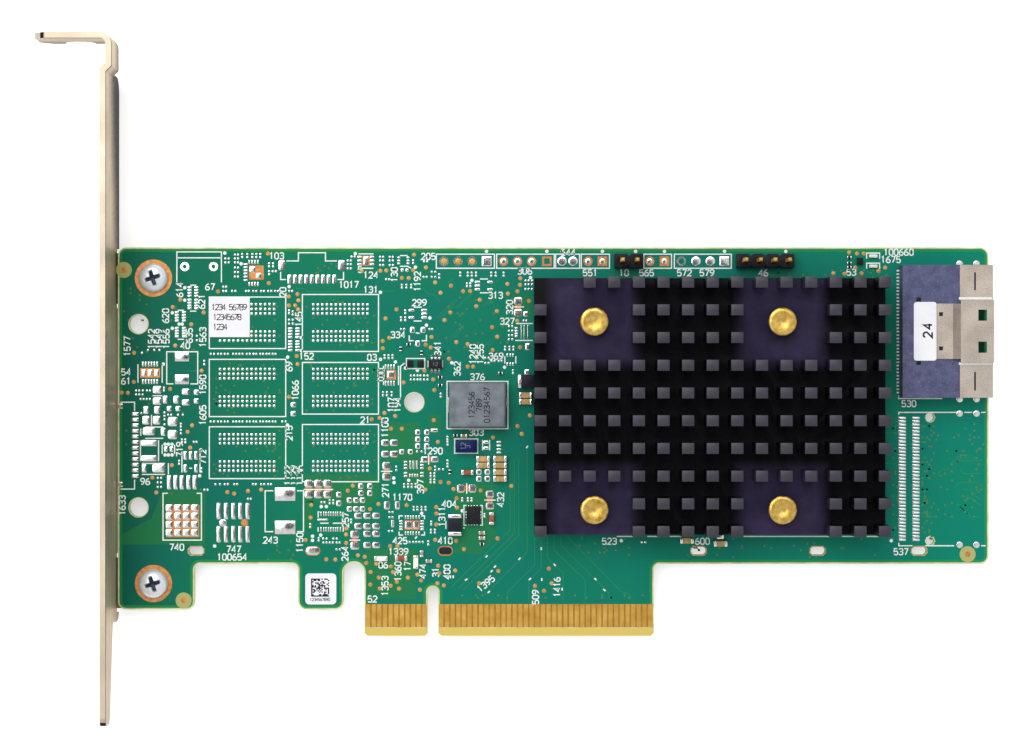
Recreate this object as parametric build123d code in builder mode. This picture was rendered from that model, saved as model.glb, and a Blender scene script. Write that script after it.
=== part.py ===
from build123d import *
import os

# A full-height raid controller card, lying on its back with the component side up.
# X runs along the board away from the bracket, Y from the edge contacts to the top edge,
# Z out of the component side. The origin is the middle of the key notch, at the tip of the
# contact tongue, on the component side. All sizes are in millimetres.

os.makedirs("parts", exist_ok=True)

# Circuit board
BOARD_THICK = 1.57
BOARD_LEFT = -55.85
BOARD_LOWER_EDGE = 12.8
BOARD_CORNER_R = 1.5
FOOT_EDGE = 4.7
FOOT_RIGHT = -42.3
HOOK_LEFT = -23.9
HOOK_RIGHT = -15.85
TONGUE_LEFT = -12.15
TONGUE_RIGHT = 39.15
TONGUE_CHAMFER = 0.5
KEY_WIDTH = 1.9
KEY_DEPTH = 8.7
HOOK_GAP_TOP = 13.0
ROUTER_R = 1.0
BEVEL_LENGTH = 1.4
BEVEL_DEPTH = 0.45
BACK = -BOARD_THICK

# Share of a slot's width that each corner of its rounded end takes
ROUND_END = 0.48
# How far from a wanted place an edge may lie to be picked
NEAR = 0.1

# Bare holes of the board. The small holes and fasteners repeat, so they have few sides.
DRILL_SIDES = 8
HEAD_SIDES = 24
MOUNT_HOLE_R = 1.65
MOUNT_HOLE_INSET = 3.65
MOUNT_HOLE_YS = (55.3, 22.8)
MID_HOLE_X = -3.3
MID_HOLE_Y = 41.45
SLOT_LENGTH = 2.6
SLOT_WIDTH = 1.4
SLOT_END_CHAMFER = 0.4
SLOT_EDGE_GAP = 2.3
SLOT_XS = (-42.0, 47.1, 68.2, 86.2)

# Edge contacts: short group before the key, long group after it
CONTACT_PITCH = 1.0
CONTACT_WIDTH = 0.7
CONTACT_LENGTH = 4.1
CONTACT_START = 1.55
CONTACT_THICK = 0.05
FIRST_CONTACT = 1.5
SHORT_COUNT = 11
LONG_COUNT = 38

# Mounting bracket: one sheet, with a neck and a tab above and a foot below
SHEET = 1.0
BOARD_GAP = 0.3
PLATE_TOP = 99.2
PLATE_BOTTOM = 2.5
PLATE_WIDTH = 18.42
PLATE_FRONT = 14.32
PLATE_SHOULDER_R = 3.0
NECK_WIDTH = 10.0
NECK_STEP = 1.0
NECK_STEP_HEIGHT = 1.0
TAB_TOP = 105.5
TAB_LENGTH = 12.45
TAB_BEND_R = 1.0
TAB_CORNER = 2.0
TAB_NOTCH_R = 2.6
TAB_NOTCH_DEPTH = 3.4
TAB_NOTCH_FROM_END = 6.85
FOOT_TIP = -14.5
FOOT_TIP_WIDTH = 6.0
FOOT_TIP_R = 1.5
EAR_LENGTH = 10.5
EAR_WIDTH = 9.0
EAR_RELIEF = 0.8
EAR_BEND_R = 0.6
EAR_CORNER = 1.2

# Bracket screws
SCREW_INSET = 6.3
SCREW_YS = (63.45, 9.3)
SCREW_R = 1.5
SCREW_FIT = 0.1
SCREW_HEAD_R = 2.55
SCREW_HEAD_HEIGHT = 1.9
SCREW_HEAD_WALL = 0.7
SCREW_HEAD_TAPER = 34
SCREW_TAIL = 0.9
RECESS_LENGTH = 2.7
RECESS_WIDTH = 0.75
RECESS_DEPTH = 1.1

# Controller chip and heat sink. The board's top edge follows the heat sink, and its right
# edge the heat sink and the port.
CARRIER_GAP = 0.3
CARRIER_THICK = 1.3
DIE_SIZE = 14.0
DIE_THICK = 0.8
PASTE_THICK = 0.5
PASTE_SIZE = 16.0
SINK_LEFT = 17.9
SINK_BOTTOM = 18.25
SINK_LENGTH = 61.7
SINK_WIDTH = 45.05
SINK_BASE = 2.5
SINK_TO_TOP_EDGE = 5.6
SINK_TO_PORT = 3.0
FIN_COLUMN_COUNT = 15
FIN_ROW_COUNT = 10
FIN_CLEAR_X = 6.0
FIN_CLEAR_Y = 4.0
FIN_LENGTH = 2.1
FIN_WIDTH = 1.9
FIN_HEIGHT = 8.0

# Push pins and their springs. The pins stand this far inside the heat sink's edges.
PUSH_LEFT_INSET = 10.51
PUSH_RIGHT_INSET = 18.29
PUSH_TOP_INSET = 7.7
PUSH_BOTTOM_INSET = 4.45
PUSH_SHAFT_R = 1.2
PUSH_FIT = 0.15
PUSH_HEAD_R = 2.5
PUSH_HEAD_HEIGHT = 0.9
PUSH_HEAD_CHAMFER = 0.25
PUSH_BARB_R = 1.75
PUSH_BARB_GAP = 0.02
PUSH_TIP_R = 0.8
PUSH_TIP_LENGTH = 2.2
PUSH_SPLIT = 0.5
SPRING_HEIGHT = 2.2
SPRING_WIRE = 0.4
SPRING_R = 1.85
SPRING_TURNS = 2.5
SPRING_STEPS = 6
SPRING_SEAT_GAP = 0.02

# Drive cable port on the right edge
PORT_EDGE_GAP = 0.1
PORT_Y = 53.95
PORT_WIDTH = 23.3
PORT_SHELL_LENGTH = 5.8
PORT_HOUSING_LENGTH = 10.0
PORT_HEIGHT = 5.6
PORT_SHEET = 0.3
PORT_CENTRE_WIDTH = 10.9
PORT_CENTRE_RISE = 1.2
PORT_FLAP_LENGTH = 4.0
PORT_FLAP_INSET = 0.6
FLAP_HOLE = 0.7
FLAP_HOLE_SPACING = 6.0
WINDOW_LENGTH = 1.5
WINDOW_WIDTH = 1.95
WINDOW_SETBACK = 2.0
WINDOW_SPACING = 5.6
PIT_LENGTH = 0.8
PIT_WIDTH = 0.9
PIT_DEPTH = 1.0
PIT_SETBACK = 2.8
CARD_SLOT_WIDTH = 19.4
CARD_SLOT_HEIGHT = 1.1
CARD_SLOT_DEPTH = 6.5
CARD_SLOT_Z = 2.4
PORT_PITCH = 0.6
PORT_COUNT = 37
TAIL_WIDTH = 0.28
TAIL_THICK = 0.2
TAIL_FOOT = 0.8
TAIL_ROOM = 0.3
PEG_R = 0.65
PEG_FIT = 0.05
PEG_LENGTH = 1.4
PEG_X = 88.15
PEG_EDGE = 1.25
LEG_XS = (93.35, 96.35)
LEG_WIDTH = 0.75
LEG_LENGTH = 2.2
LEG_HOLE_R = 0.5

# Second port of the same kind, not fitted: its two locating holes alone
SPARE_PORT_Y = 27.8
LOCATOR_R = 0.7
LOCATOR_SPACING = 21.9

# Pin headers on the top edge
HEADER_PITCH = 2.54
HEADER_EDGE_GAP = 2.45
HEADER_WIDTH = 2.5
HEADER_HEIGHT = 2.5
HEADER_PIN = 0.64
HEADER_PIN_TOP = 8.4
HEADER_TAIL = 1.9
HEADER_HOLE_R = 0.5
HEADER_STARTS = ((33.4, 2), (54.95, 4))
OPEN_HOLE_XS = (27.5, 30.05, 38.45, 41.05)
HEADER_NOTCH = 0.6
HEADER_PIN_CHAMFER = 0.16

# Two-ended chip parts: the ends wrap round the body by a little
END_WRAP = 0.03
TAN_LENGTH = 2.4
TAN_WIDTH = 0.98
TAN_HEIGHT = 0.9
TAN_END = 0.5
BROWN_LENGTH = 2.2
BROWN_WIDTH = 0.85
BROWN_HEIGHT = 0.8
BROWN_END = 0.5
SMALL_LENGTH = 1.15
SMALL_WIDTH = 0.6
SMALL_HEIGHT = 0.5
SMALL_END = 0.3
RESISTOR_LENGTH = 0.8
RESISTOR_WIDTH = 0.45
RESISTOR_HEIGHT = 0.35
RESISTOR_END = 0.2
FUSE_LENGTH = 2.4
FUSE_WIDTH = 0.85
FUSE_HEIGHT = 0.6
FUSE_END = 0.45
CHOKE_LENGTH = 3.8
CHOKE_WIDTH = 2.3
CHOKE_HEIGHT = 2.0
CHOKE_END = 0.7

# Power inductor, module and chips
POWER_COIL_X = 7.95
POWER_COIL_Y = 41.0
POWER_COIL_LENGTH = 10.0
POWER_COIL_WIDTH = 7.9
POWER_COIL_HEIGHT = 3.8
POWER_COIL_CHAMFER = 0.3
TERMINAL_WIDTH = 2.8
TERMINAL_THICK = 0.2
TERMINAL_RISE = 2.0
TERMINAL_REACH = 2.0
GULL_X = 0.45
GULL_Y = 48.2
GULL_LENGTH = 2.4
GULL_WIDTH = 1.5
GULL_HEIGHT = 1.0
GULL_PITCH = 0.65
GULL_LEG = 0.35
GULL_SHOULDER = 0.3
GULL_REACH = 0.95
LEG_SHEET = 0.12
MODULE_X = 5.95
MODULE_Y = 33.65
MODULE_LENGTH = 3.75
MODULE_WIDTH = 2.15
MODULE_HEIGHT = 1.5
REGULATOR_X = 7.2
REGULATOR_Y = 21.4
REGULATOR_LENGTH = 2.4
REGULATOR_WIDTH = 3.1
REGULATOR_HEIGHT = 0.9
ARRAY_LENGTH = 1.05
ARRAY_WIDTH = 1.2
ARRAY_HEIGHT = 0.7
LAMP_X = 78.05
LAMP_LENGTH = 1.5
LAMP_WIDTH = 0.6
LAMP_HEIGHT = 0.5
LAMP_SPACING = 1.8

# Stickers
LABEL_THICK = 0.1
LABEL_CORNER = 0.6
PORT_LABEL_LENGTH = 4.0
PORT_LABEL_INSET = 0.3
PORT_LABEL_GAP = 0.05
BOARD_LABEL_X = -36.1
BOARD_LABEL_Y = 56.55
BOARD_LABEL_LENGTH = 7.25
BOARD_LABEL_WIDTH = 7.1
HOOK_LABEL_SIZE = 5.5
HOOK_LABEL_RISE = 0.9

# Tinned lands of the two coils that are not fitted, as x, y, length and width
LAND_THICK = 0.12
COIL_LANDS = (
    (-44.5, 49.55, 2.5, 1.75),
    (-44.5, 45.5, 2.5, 1.75),
    (-26.2, 25.15, 3.65, 2.4),
    (-26.2, 19.25, 3.65, 2.4),
)

# Worked out from the values above
PLATE_OUTER = BOARD_LEFT - BOARD_GAP - SHEET
PLATE_INNER = PLATE_OUTER + SHEET
SCREW_X = BOARD_LEFT + SCREW_INSET
DIE_TOP = CARRIER_THICK + DIE_THICK
SINK_UNDER = DIE_TOP + PASTE_THICK
SINK_TOP = SINK_UNDER + SINK_BASE
SINK_RIGHT = SINK_LEFT + SINK_LENGTH
SINK_FAR = SINK_BOTTOM + SINK_WIDTH
HEAD_UNDER = SINK_TOP + SPRING_HEIGHT
PUSH_XS = (SINK_LEFT + PUSH_LEFT_INSET, SINK_RIGHT - PUSH_RIGHT_INSET)
PUSH_YS = (SINK_BOTTOM + PUSH_BOTTOM_INSET, SINK_FAR - PUSH_TOP_INSET)
CHIP_X = sum(PUSH_XS) / 2
CHIP_Y = sum(PUSH_YS) / 2
CARRIER_LENGTH = PUSH_XS[1] - PUSH_XS[0] - 2 * (PUSH_SHAFT_R + CARRIER_GAP)
CARRIER_WIDTH = PUSH_YS[1] - PUSH_YS[0] - 2 * (PUSH_SHAFT_R + CARRIER_GAP)
HOUSING_BACK = SINK_RIGHT + SINK_TO_PORT
SHELL_BACK = HOUSING_BACK + PORT_HOUSING_LENGTH
PORT_FRONT = SHELL_BACK + PORT_SHELL_LENGTH
BOARD_RIGHT = PORT_FRONT + PORT_EDGE_GAP
BOARD_TOP = SINK_FAR + SINK_TO_TOP_EDGE
HOUSING_TOP = PORT_HEIGHT - PORT_SHEET
HEADER_Y = BOARD_TOP - HEADER_EDGE_GAP
SLOT_Y = BOARD_LOWER_EDGE + SLOT_EDGE_GAP
mount_holes = [(BOARD_LEFT + MOUNT_HOLE_INSET, y) for y in MOUNT_HOLE_YS]
mount_holes.append((MID_HOLE_X, MID_HOLE_Y))
screw_places = [(SCREW_X, y) for y in SCREW_YS]
push_places = [(x, y) for x in PUSH_XS for y in PUSH_YS]
header_places = [(x + i * HEADER_PITCH, HEADER_Y) for x, n in HEADER_STARTS for i in range(n)]
leg_places = [(x, PORT_Y + side * PORT_WIDTH / 2 - side * PORT_SHEET / 2) for x in LEG_XS for side in (1, -1)]
peg_places = [(PEG_X, PORT_Y + side * (PORT_WIDTH / 2 - PEG_EDGE)) for side in (1, -1)]
locator_places = [(PEG_X, SPARE_PORT_Y + side * LOCATOR_SPACING / 2) for side in (1, -1)]


def keep(builder, name):
    """Names a finished piece and writes it."""
    builder.part.label = name
    export_step(builder.part, f"parts/{name}.step")


def block(x0, x1, y0, y1):
    """A rectangle between two corners, for use inside a sketch."""
    with Locations(((x0 + x1) / 2, (y0 + y1) / 2)):
        Rectangle(x1 - x0, y1 - y0)


def drilled(radius, sides):
    """A small hole in the open sketch, as a polygon whose flat sides lie at the radius."""
    RegularPolygon(radius, sides, major_radius=False, mode=Mode.SUBTRACT)


def chamfered(length, width, corner, mode=Mode.ADD):
    """A rectangle with cut corners in the open sketch."""
    x, y = length / 2, width / 2
    Polygon(
        (x - corner, y),
        (x, y - corner),
        (x, corner - y),
        (x - corner, -y),
        (corner - x, -y),
        (-x, corner - y),
        (-x, y - corner),
        (corner - x, y),
        mode=mode,
    )


# Circuit board: a routed laminate with a bevelled contact tongue
outline_corners = [
    ((BOARD_LEFT, FOOT_EDGE), BOARD_CORNER_R),
    ((FOOT_RIGHT, FOOT_EDGE), BOARD_CORNER_R),
    ((FOOT_RIGHT, BOARD_LOWER_EDGE), ROUTER_R),
    ((HOOK_LEFT, BOARD_LOWER_EDGE), ROUTER_R),
    ((HOOK_LEFT, FOOT_EDGE), BOARD_CORNER_R),
    ((HOOK_RIGHT, FOOT_EDGE), BOARD_CORNER_R),
    ((HOOK_RIGHT, HOOK_GAP_TOP), (TONGUE_LEFT - HOOK_RIGHT) * ROUND_END),
    ((TONGUE_LEFT, HOOK_GAP_TOP), (TONGUE_LEFT - HOOK_RIGHT) * ROUND_END),
    ((TONGUE_LEFT, TONGUE_CHAMFER), 0),
    ((TONGUE_LEFT + TONGUE_CHAMFER, 0), 0),
    ((-KEY_WIDTH / 2 - TONGUE_CHAMFER, 0), 0),
    ((-KEY_WIDTH / 2, TONGUE_CHAMFER), 0),
    ((-KEY_WIDTH / 2, KEY_DEPTH), KEY_WIDTH * ROUND_END),
    ((KEY_WIDTH / 2, KEY_DEPTH), KEY_WIDTH * ROUND_END),
    ((KEY_WIDTH / 2, TONGUE_CHAMFER), 0),
    ((KEY_WIDTH / 2 + TONGUE_CHAMFER, 0), 0),
    ((TONGUE_RIGHT - TONGUE_CHAMFER, 0), 0),
    ((TONGUE_RIGHT, TONGUE_CHAMFER), 0),
    ((TONGUE_RIGHT, BOARD_LOWER_EDGE), ROUTER_R),
    ((BOARD_RIGHT, BOARD_LOWER_EDGE), BOARD_CORNER_R),
    ((BOARD_RIGHT, BOARD_TOP), BOARD_CORNER_R),
    ((BOARD_LEFT, BOARD_TOP), BOARD_CORNER_R),
]
with BuildPart() as circuit_board:
    with BuildSketch(Plane.XY.offset(BACK)):
        with BuildLine():
            FilletPolyline(
                [point for point, radius in outline_corners],
                radius=[radius for point, radius in outline_corners],
                close=True,
            )
        make_face()
        with Locations(mount_holes):
            Circle(MOUNT_HOLE_R, mode=Mode.SUBTRACT)
        with Locations(screw_places):
            drilled(SCREW_R + SCREW_FIT, DRILL_SIDES)
        with Locations(push_places):
            drilled(PUSH_SHAFT_R + PUSH_FIT, DRILL_SIDES)
        with Locations(header_places):
            Rectangle(HEADER_PIN, HEADER_PIN, mode=Mode.SUBTRACT)
        with Locations([(x, HEADER_Y) for x in OPEN_HOLE_XS]):
            drilled(HEADER_HOLE_R, DRILL_SIDES)
        with Locations(leg_places):
            drilled(LEG_HOLE_R, DRILL_SIDES)
        with Locations(peg_places):
            drilled(PEG_R + PEG_FIT, DRILL_SIDES)
        with Locations(locator_places):
            drilled(LOCATOR_R, DRILL_SIDES)
        with Locations([(x, SLOT_Y) for x in SLOT_XS]):
            chamfered(SLOT_LENGTH, SLOT_WIDTH, SLOT_END_CHAMFER, Mode.SUBTRACT)
    extrude(amount=BOARD_THICK)
    # Both faces of the tongue slope to its tip, so that it enters the socket
    with BuildSketch(Plane.YZ.offset(TONGUE_LEFT)):
        for face, inward in ((0, -1), (BACK, 1)):
            with BuildLine():
                Polyline(
                    (0, face), (BEVEL_LENGTH, face), (0, face + inward * BEVEL_DEPTH), close=True
                )
            make_face()
    extrude(amount=TONGUE_RIGHT - TONGUE_LEFT, mode=Mode.SUBTRACT)
keep(circuit_board, "circuit_board")

# Edge contacts: gold fingers on both faces
contact_xs = [-FIRST_CONTACT - i * CONTACT_PITCH for i in range(SHORT_COUNT)]
contact_xs += [FIRST_CONTACT + i * CONTACT_PITCH for i in range(LONG_COUNT)]
contact_mid = CONTACT_START + CONTACT_LENGTH / 2
with BuildPart() as edge_contacts:
    for level in (0, BACK - CONTACT_THICK):
        with BuildSketch(Plane.XY.offset(level)):
            with Locations([(x, contact_mid) for x in contact_xs]):
                Rectangle(CONTACT_WIDTH, CONTACT_LENGTH)
        extrude(amount=CONTACT_THICK)
keep(edge_contacts, "edge_contacts")

# Mounting bracket: the sheet's side view is bent first, then trimmed from the front
neck_outer = PLATE_OUTER + NECK_STEP
neck_inner = neck_outer + SHEET
neck_back = PLATE_FRONT - NECK_WIDTH
plate_back = PLATE_FRONT - PLATE_WIDTH
tab_end = neck_outer - TAB_LENGTH
with BuildPart() as mounting_bracket:
    # Sheet profile: foot, plate, the small step in to the neck, and the tab
    with BuildSketch(Plane.XY.offset(neck_back)):
        with BuildLine():
            Polyline(
                (PLATE_OUTER, FOOT_TIP),
                (PLATE_INNER, FOOT_TIP),
                (PLATE_INNER, PLATE_TOP - SHEET / 2),
                (neck_inner, PLATE_TOP - SHEET / 2 + NECK_STEP_HEIGHT),
                (neck_inner, TAB_TOP),
                (tab_end, TAB_TOP),
                (tab_end, TAB_TOP - SHEET),
                (neck_outer, TAB_TOP - SHEET),
                (neck_outer, PLATE_TOP + NECK_STEP_HEIGHT),
                (PLATE_OUTER, PLATE_TOP),
                close=True,
            )
        make_face()
    extrude(amount=NECK_WIDTH)
    bend = mounting_bracket.edges().filter_by(Axis.Z)
    fillet(bend.sort_by_distance((neck_inner, TAB_TOP, 0))[0], TAB_BEND_R + SHEET)
    bend = mounting_bracket.edges().filter_by(Axis.Z)
    fillet(bend.sort_by_distance((neck_outer, TAB_TOP - SHEET, 0))[0], TAB_BEND_R)
    # The plate is wider than its neck and foot, towards the back of the card
    with BuildSketch(Plane.YZ.offset(PLATE_OUTER)) as plate_face:
        block(PLATE_BOTTOM, PLATE_TOP, plate_back, neck_back)
        back_corners = plate_face.vertices().group_by(Axis.Z)[0]
        fillet(back_corners, PLATE_SHOULDER_R)
    extrude(amount=SHEET)
    # The tab's screw notch and its cut corners
    with BuildSketch(Plane.XZ.offset(-TAB_TOP)):
        with Locations((tab_end + TAB_NOTCH_FROM_END, neck_back + TAB_NOTCH_DEPTH - TAB_NOTCH_R)):
            Circle(TAB_NOTCH_R)
        block(
            tab_end + TAB_NOTCH_FROM_END - TAB_NOTCH_R,
            tab_end + TAB_NOTCH_FROM_END + TAB_NOTCH_R,
            neck_back,
            neck_back + TAB_NOTCH_DEPTH - TAB_NOTCH_R,
        )
    extrude(amount=SHEET, mode=Mode.SUBTRACT)
    tab_corners = mounting_bracket.edges().filter_by(Axis.Y).filter_by_position(
        Axis.X, tab_end - NEAR, tab_end + NEAR
    )
    chamfer(tab_corners, TAB_CORNER)
    # The foot narrows to a rounded tip
    with BuildSketch(Plane.YZ.offset(PLATE_OUTER)) as foot_trim:
        with BuildLine():
            Polyline(
                (PLATE_BOTTOM, neck_back),
                (FOOT_TIP, neck_back),
                (FOOT_TIP, PLATE_FRONT - FOOT_TIP_WIDTH),
                close=True,
            )
        make_face()
    extrude(amount=SHEET, mode=Mode.SUBTRACT)
    tip_corners = mounting_bracket.edges().filter_by(Axis.X).sort_by(Axis.Y)[0:2]
    fillet(tip_corners, FOOT_TIP_R)
    # Two ears are bent in under the board, each beside a relief in the plate's back edge
    for x, y in screw_places:
        ear_low = y - EAR_WIDTH / 2
        ear_high = y + EAR_WIDTH / 2
        with BuildSketch(Plane.YZ.offset(PLATE_OUTER)):
            block(ear_low - EAR_RELIEF, ear_high + EAR_RELIEF, plate_back, BACK - SHEET)
        extrude(amount=SHEET, mode=Mode.SUBTRACT)
        for side_low in (ear_low - EAR_RELIEF, ear_high):
            with BuildSketch(Plane.YZ.offset(PLATE_OUTER)):
                block(side_low, side_low + EAR_RELIEF, plate_back, BACK + EAR_BEND_R)
            extrude(amount=SHEET, mode=Mode.SUBTRACT)
        with BuildSketch(Plane.XZ.offset(-ear_low)):
            with BuildLine():
                Polyline(
                    (PLATE_OUTER, BACK + EAR_BEND_R),
                    (PLATE_OUTER, BACK - SHEET),
                    (PLATE_INNER + EAR_LENGTH, BACK - SHEET),
                    (PLATE_INNER + EAR_LENGTH, BACK),
                    (PLATE_INNER, BACK),
                    (PLATE_INNER, BACK + EAR_BEND_R),
                    close=True,
                )
            make_face()
        extrude(amount=-EAR_WIDTH)
        outer_bend = mounting_bracket.edges().filter_by(Axis.Y)
        fillet(outer_bend.sort_by_distance((PLATE_OUTER, y, BACK - SHEET))[0], EAR_BEND_R)
        ear_tips = mounting_bracket.edges().filter_by(Axis.Z).filter_by_position(
            Axis.X, PLATE_INNER + EAR_LENGTH - NEAR, PLATE_INNER + EAR_LENGTH + NEAR
        ).filter_by_position(Axis.Y, ear_low - NEAR, ear_high + NEAR)
        chamfer(ear_tips, EAR_CORNER)
        with BuildSketch(Plane.XY.offset(BACK - SHEET)):
            with Locations((x, y)):
                RegularPolygon(SCREW_R + SCREW_FIT, DRILL_SIDES, major_radius=False)
        extrude(amount=SHEET, mode=Mode.SUBTRACT)
keep(mounting_bracket, "mounting_bracket")

# Bracket screws: a low head with a sloped rim and a cross recess
with BuildPart() as bracket_screws:
    with BuildSketch(Plane.XY.offset(BACK - SHEET - SCREW_TAIL)):
        with Locations(screw_places):
            RegularPolygon(SCREW_R, DRILL_SIDES)
    extrude(amount=SCREW_TAIL + SHEET + BOARD_THICK)
    with BuildSketch(Plane.XY):
        with Locations(screw_places):
            RegularPolygon(SCREW_HEAD_R, HEAD_SIDES)
    extrude(amount=SCREW_HEAD_WALL)
    for place in screw_places:
        with BuildSketch(Plane.XY.offset(SCREW_HEAD_WALL)):
            with Locations(place):
                RegularPolygon(SCREW_HEAD_R, HEAD_SIDES)
        extrude(amount=SCREW_HEAD_HEIGHT - SCREW_HEAD_WALL, taper=SCREW_HEAD_TAPER)
    with BuildSketch(Plane.XY.offset(SCREW_HEAD_HEIGHT)):
        with Locations(screw_places):
            Rectangle(RECESS_LENGTH, RECESS_WIDTH)
            Rectangle(RECESS_WIDTH, RECESS_LENGTH)
    extrude(amount=-RECESS_DEPTH, mode=Mode.SUBTRACT)
keep(bracket_screws, "bracket_screws")

# Controller chip: carrier, bare die and the pad that carries its heat
with BuildPart() as controller_carrier:
    with BuildSketch(Plane.XY):
        with Locations((CHIP_X, CHIP_Y)):
            Rectangle(CARRIER_LENGTH, CARRIER_WIDTH)
    extrude(amount=CARRIER_THICK)
keep(controller_carrier, "controller_carrier")

with BuildPart() as controller_die:
    with BuildSketch(Plane.XY.offset(CARRIER_THICK)):
        with Locations((CHIP_X, CHIP_Y)):
            Rectangle(DIE_SIZE, DIE_SIZE)
    extrude(amount=DIE_THICK)
keep(controller_die, "controller_die")

with BuildPart() as thermal_pad:
    with BuildSketch(Plane.XY.offset(DIE_TOP)):
        with Locations((CHIP_X, CHIP_Y)):
            Rectangle(PASTE_SIZE, PASTE_SIZE)
    extrude(amount=PASTE_THICK)
keep(thermal_pad, "thermal_pad")

# Heat sink: a field of square fins on one base, without those round the push pins and
# the first two of the far row
def stands_clear(fin):
    """Whether a fin's middle leaves room for every push pin."""
    return all(abs(fin[0] - x) > FIN_CLEAR_X or abs(fin[1] - y) > FIN_CLEAR_Y for x, y in push_places)


fin_step_x = (SINK_LENGTH - FIN_LENGTH) / (FIN_COLUMN_COUNT - 1)
fin_step_y = (SINK_WIDTH - FIN_WIDTH) / (FIN_ROW_COUNT - 1)
fin_grid = [
    (SINK_LEFT + FIN_LENGTH / 2 + column * fin_step_x, SINK_FAR - FIN_WIDTH / 2 - row * fin_step_y)
    for row in range(FIN_ROW_COUNT)
    for column in range(FIN_COLUMN_COUNT)
]
fin_places = [fin for fin in fin_grid[2:] if stands_clear(fin)]
with BuildPart() as heat_sink:
    with BuildSketch(Plane.XY.offset(SINK_UNDER)):
        block(SINK_LEFT, SINK_RIGHT, SINK_BOTTOM, SINK_FAR)
        with Locations(push_places):
            drilled(PUSH_SHAFT_R + PUSH_FIT, DRILL_SIDES)
    extrude(amount=SINK_BASE)
    with BuildSketch(Plane.XY.offset(SINK_TOP)):
        with Locations(fin_places):
            Rectangle(FIN_LENGTH, FIN_WIDTH)
    extrude(amount=FIN_HEIGHT)
keep(heat_sink, "heat_sink")

# Push pins: brass, with a flat head and a split barbed tip behind the board
barb_top = BACK - PUSH_BARB_GAP
with BuildPart() as push_pins:
    with BuildSketch(Plane.XY.offset(HEAD_UNDER)):
        with Locations(push_places):
            RegularPolygon(PUSH_HEAD_R, HEAD_SIDES)
    extrude(amount=PUSH_HEAD_HEIGHT)
    chamfer(push_pins.edges().group_by(Axis.Z)[-1], PUSH_HEAD_CHAMFER)
    with BuildSketch(Plane.XY.offset(barb_top)):
        with Locations(push_places):
            RegularPolygon(PUSH_SHAFT_R, DRILL_SIDES)
    extrude(amount=HEAD_UNDER - barb_top)
    for place in push_places:
        for level, radius in ((barb_top, PUSH_BARB_R), (barb_top - PUSH_TIP_LENGTH, PUSH_TIP_R)):
            with BuildSketch(Plane.XY.offset(level)):
                with Locations(place):
                    RegularPolygon(radius, DRILL_SIDES)
        loft(ruled=True)
    with BuildSketch(Plane.XY.offset(barb_top)):
        with Locations(push_places):
            Rectangle(PUSH_SPLIT, 2 * PUSH_BARB_R)
    extrude(amount=-PUSH_TIP_LENGTH, mode=Mode.SUBTRACT)
keep(push_pins, "push_pins")

# Push pin springs: a few open turns of wire between the head and the base
spring_start = SINK_TOP + SPRING_SEAT_GAP + SPRING_WIRE / 2
spring_climb = SPRING_HEIGHT - SPRING_WIRE - 2 * SPRING_SEAT_GAP
spring_steps = round(SPRING_STEPS * SPRING_TURNS)
with BuildPart() as push_pin_springs:
    for x, y in push_places:
        turns = []
        for i in range(spring_steps + 1):
            along = Vector(SPRING_R, 0).rotate(Axis.Z, 360 * i / SPRING_STEPS)
            turns.append((x + along.X, y + along.Y, spring_start + spring_climb * i / spring_steps))
        with BuildLine():
            coil = Polyline(*turns)
        with BuildSketch(Plane(origin=coil @ 0, z_dir=coil % 0)):
            RegularPolygon(SPRING_WIRE / 2, 4)
        sweep(path=coil, transition=Transition.RIGHT)
keep(push_pin_springs, "push_pin_springs")

# Port housing: one moulding with a card slot towards the plug, seated on two pegs
flap_back = SHELL_BACK - PORT_FLAP_LENGTH
with BuildPart() as port_housing:
    with BuildSketch(Plane.XY):
        block(HOUSING_BACK, SHELL_BACK, PORT_Y - PORT_WIDTH / 2, PORT_Y + PORT_WIDTH / 2)
    extrude(amount=HOUSING_TOP)
    slot_mid = CARD_SLOT_Z + CARD_SLOT_HEIGHT / 2
    with BuildSketch(Plane.YZ.offset(SHELL_BACK)):
        with Locations((PORT_Y, slot_mid)):
            Rectangle(CARD_SLOT_WIDTH, CARD_SLOT_HEIGHT)
    extrude(amount=-CARD_SLOT_DEPTH, mode=Mode.SUBTRACT)
    # A groove along the back foot clears the solder tails, and two square pits mark the centre
    with BuildSketch(Plane.XY):
        with Locations((HOUSING_BACK + TAIL_FOOT / 2, PORT_Y)):
            Rectangle(TAIL_FOOT, (PORT_COUNT + 1) * PORT_PITCH)
    extrude(amount=TAIL_THICK + TAIL_ROOM, mode=Mode.SUBTRACT)
    with BuildSketch(Plane.XY.offset(HOUSING_TOP)):
        with Locations((HOUSING_BACK + PIT_SETBACK, PORT_Y)):
            with GridLocations(0, PORT_CENTRE_WIDTH, 1, 2):
                Rectangle(PIT_LENGTH, PIT_WIDTH)
    extrude(amount=-PIT_DEPTH, mode=Mode.SUBTRACT)
    with BuildSketch(Plane.XY):
        with Locations(peg_places):
            RegularPolygon(PEG_R, DRILL_SIDES)
    extrude(amount=-PEG_LENGTH)
keep(port_housing, "port_housing")

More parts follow.
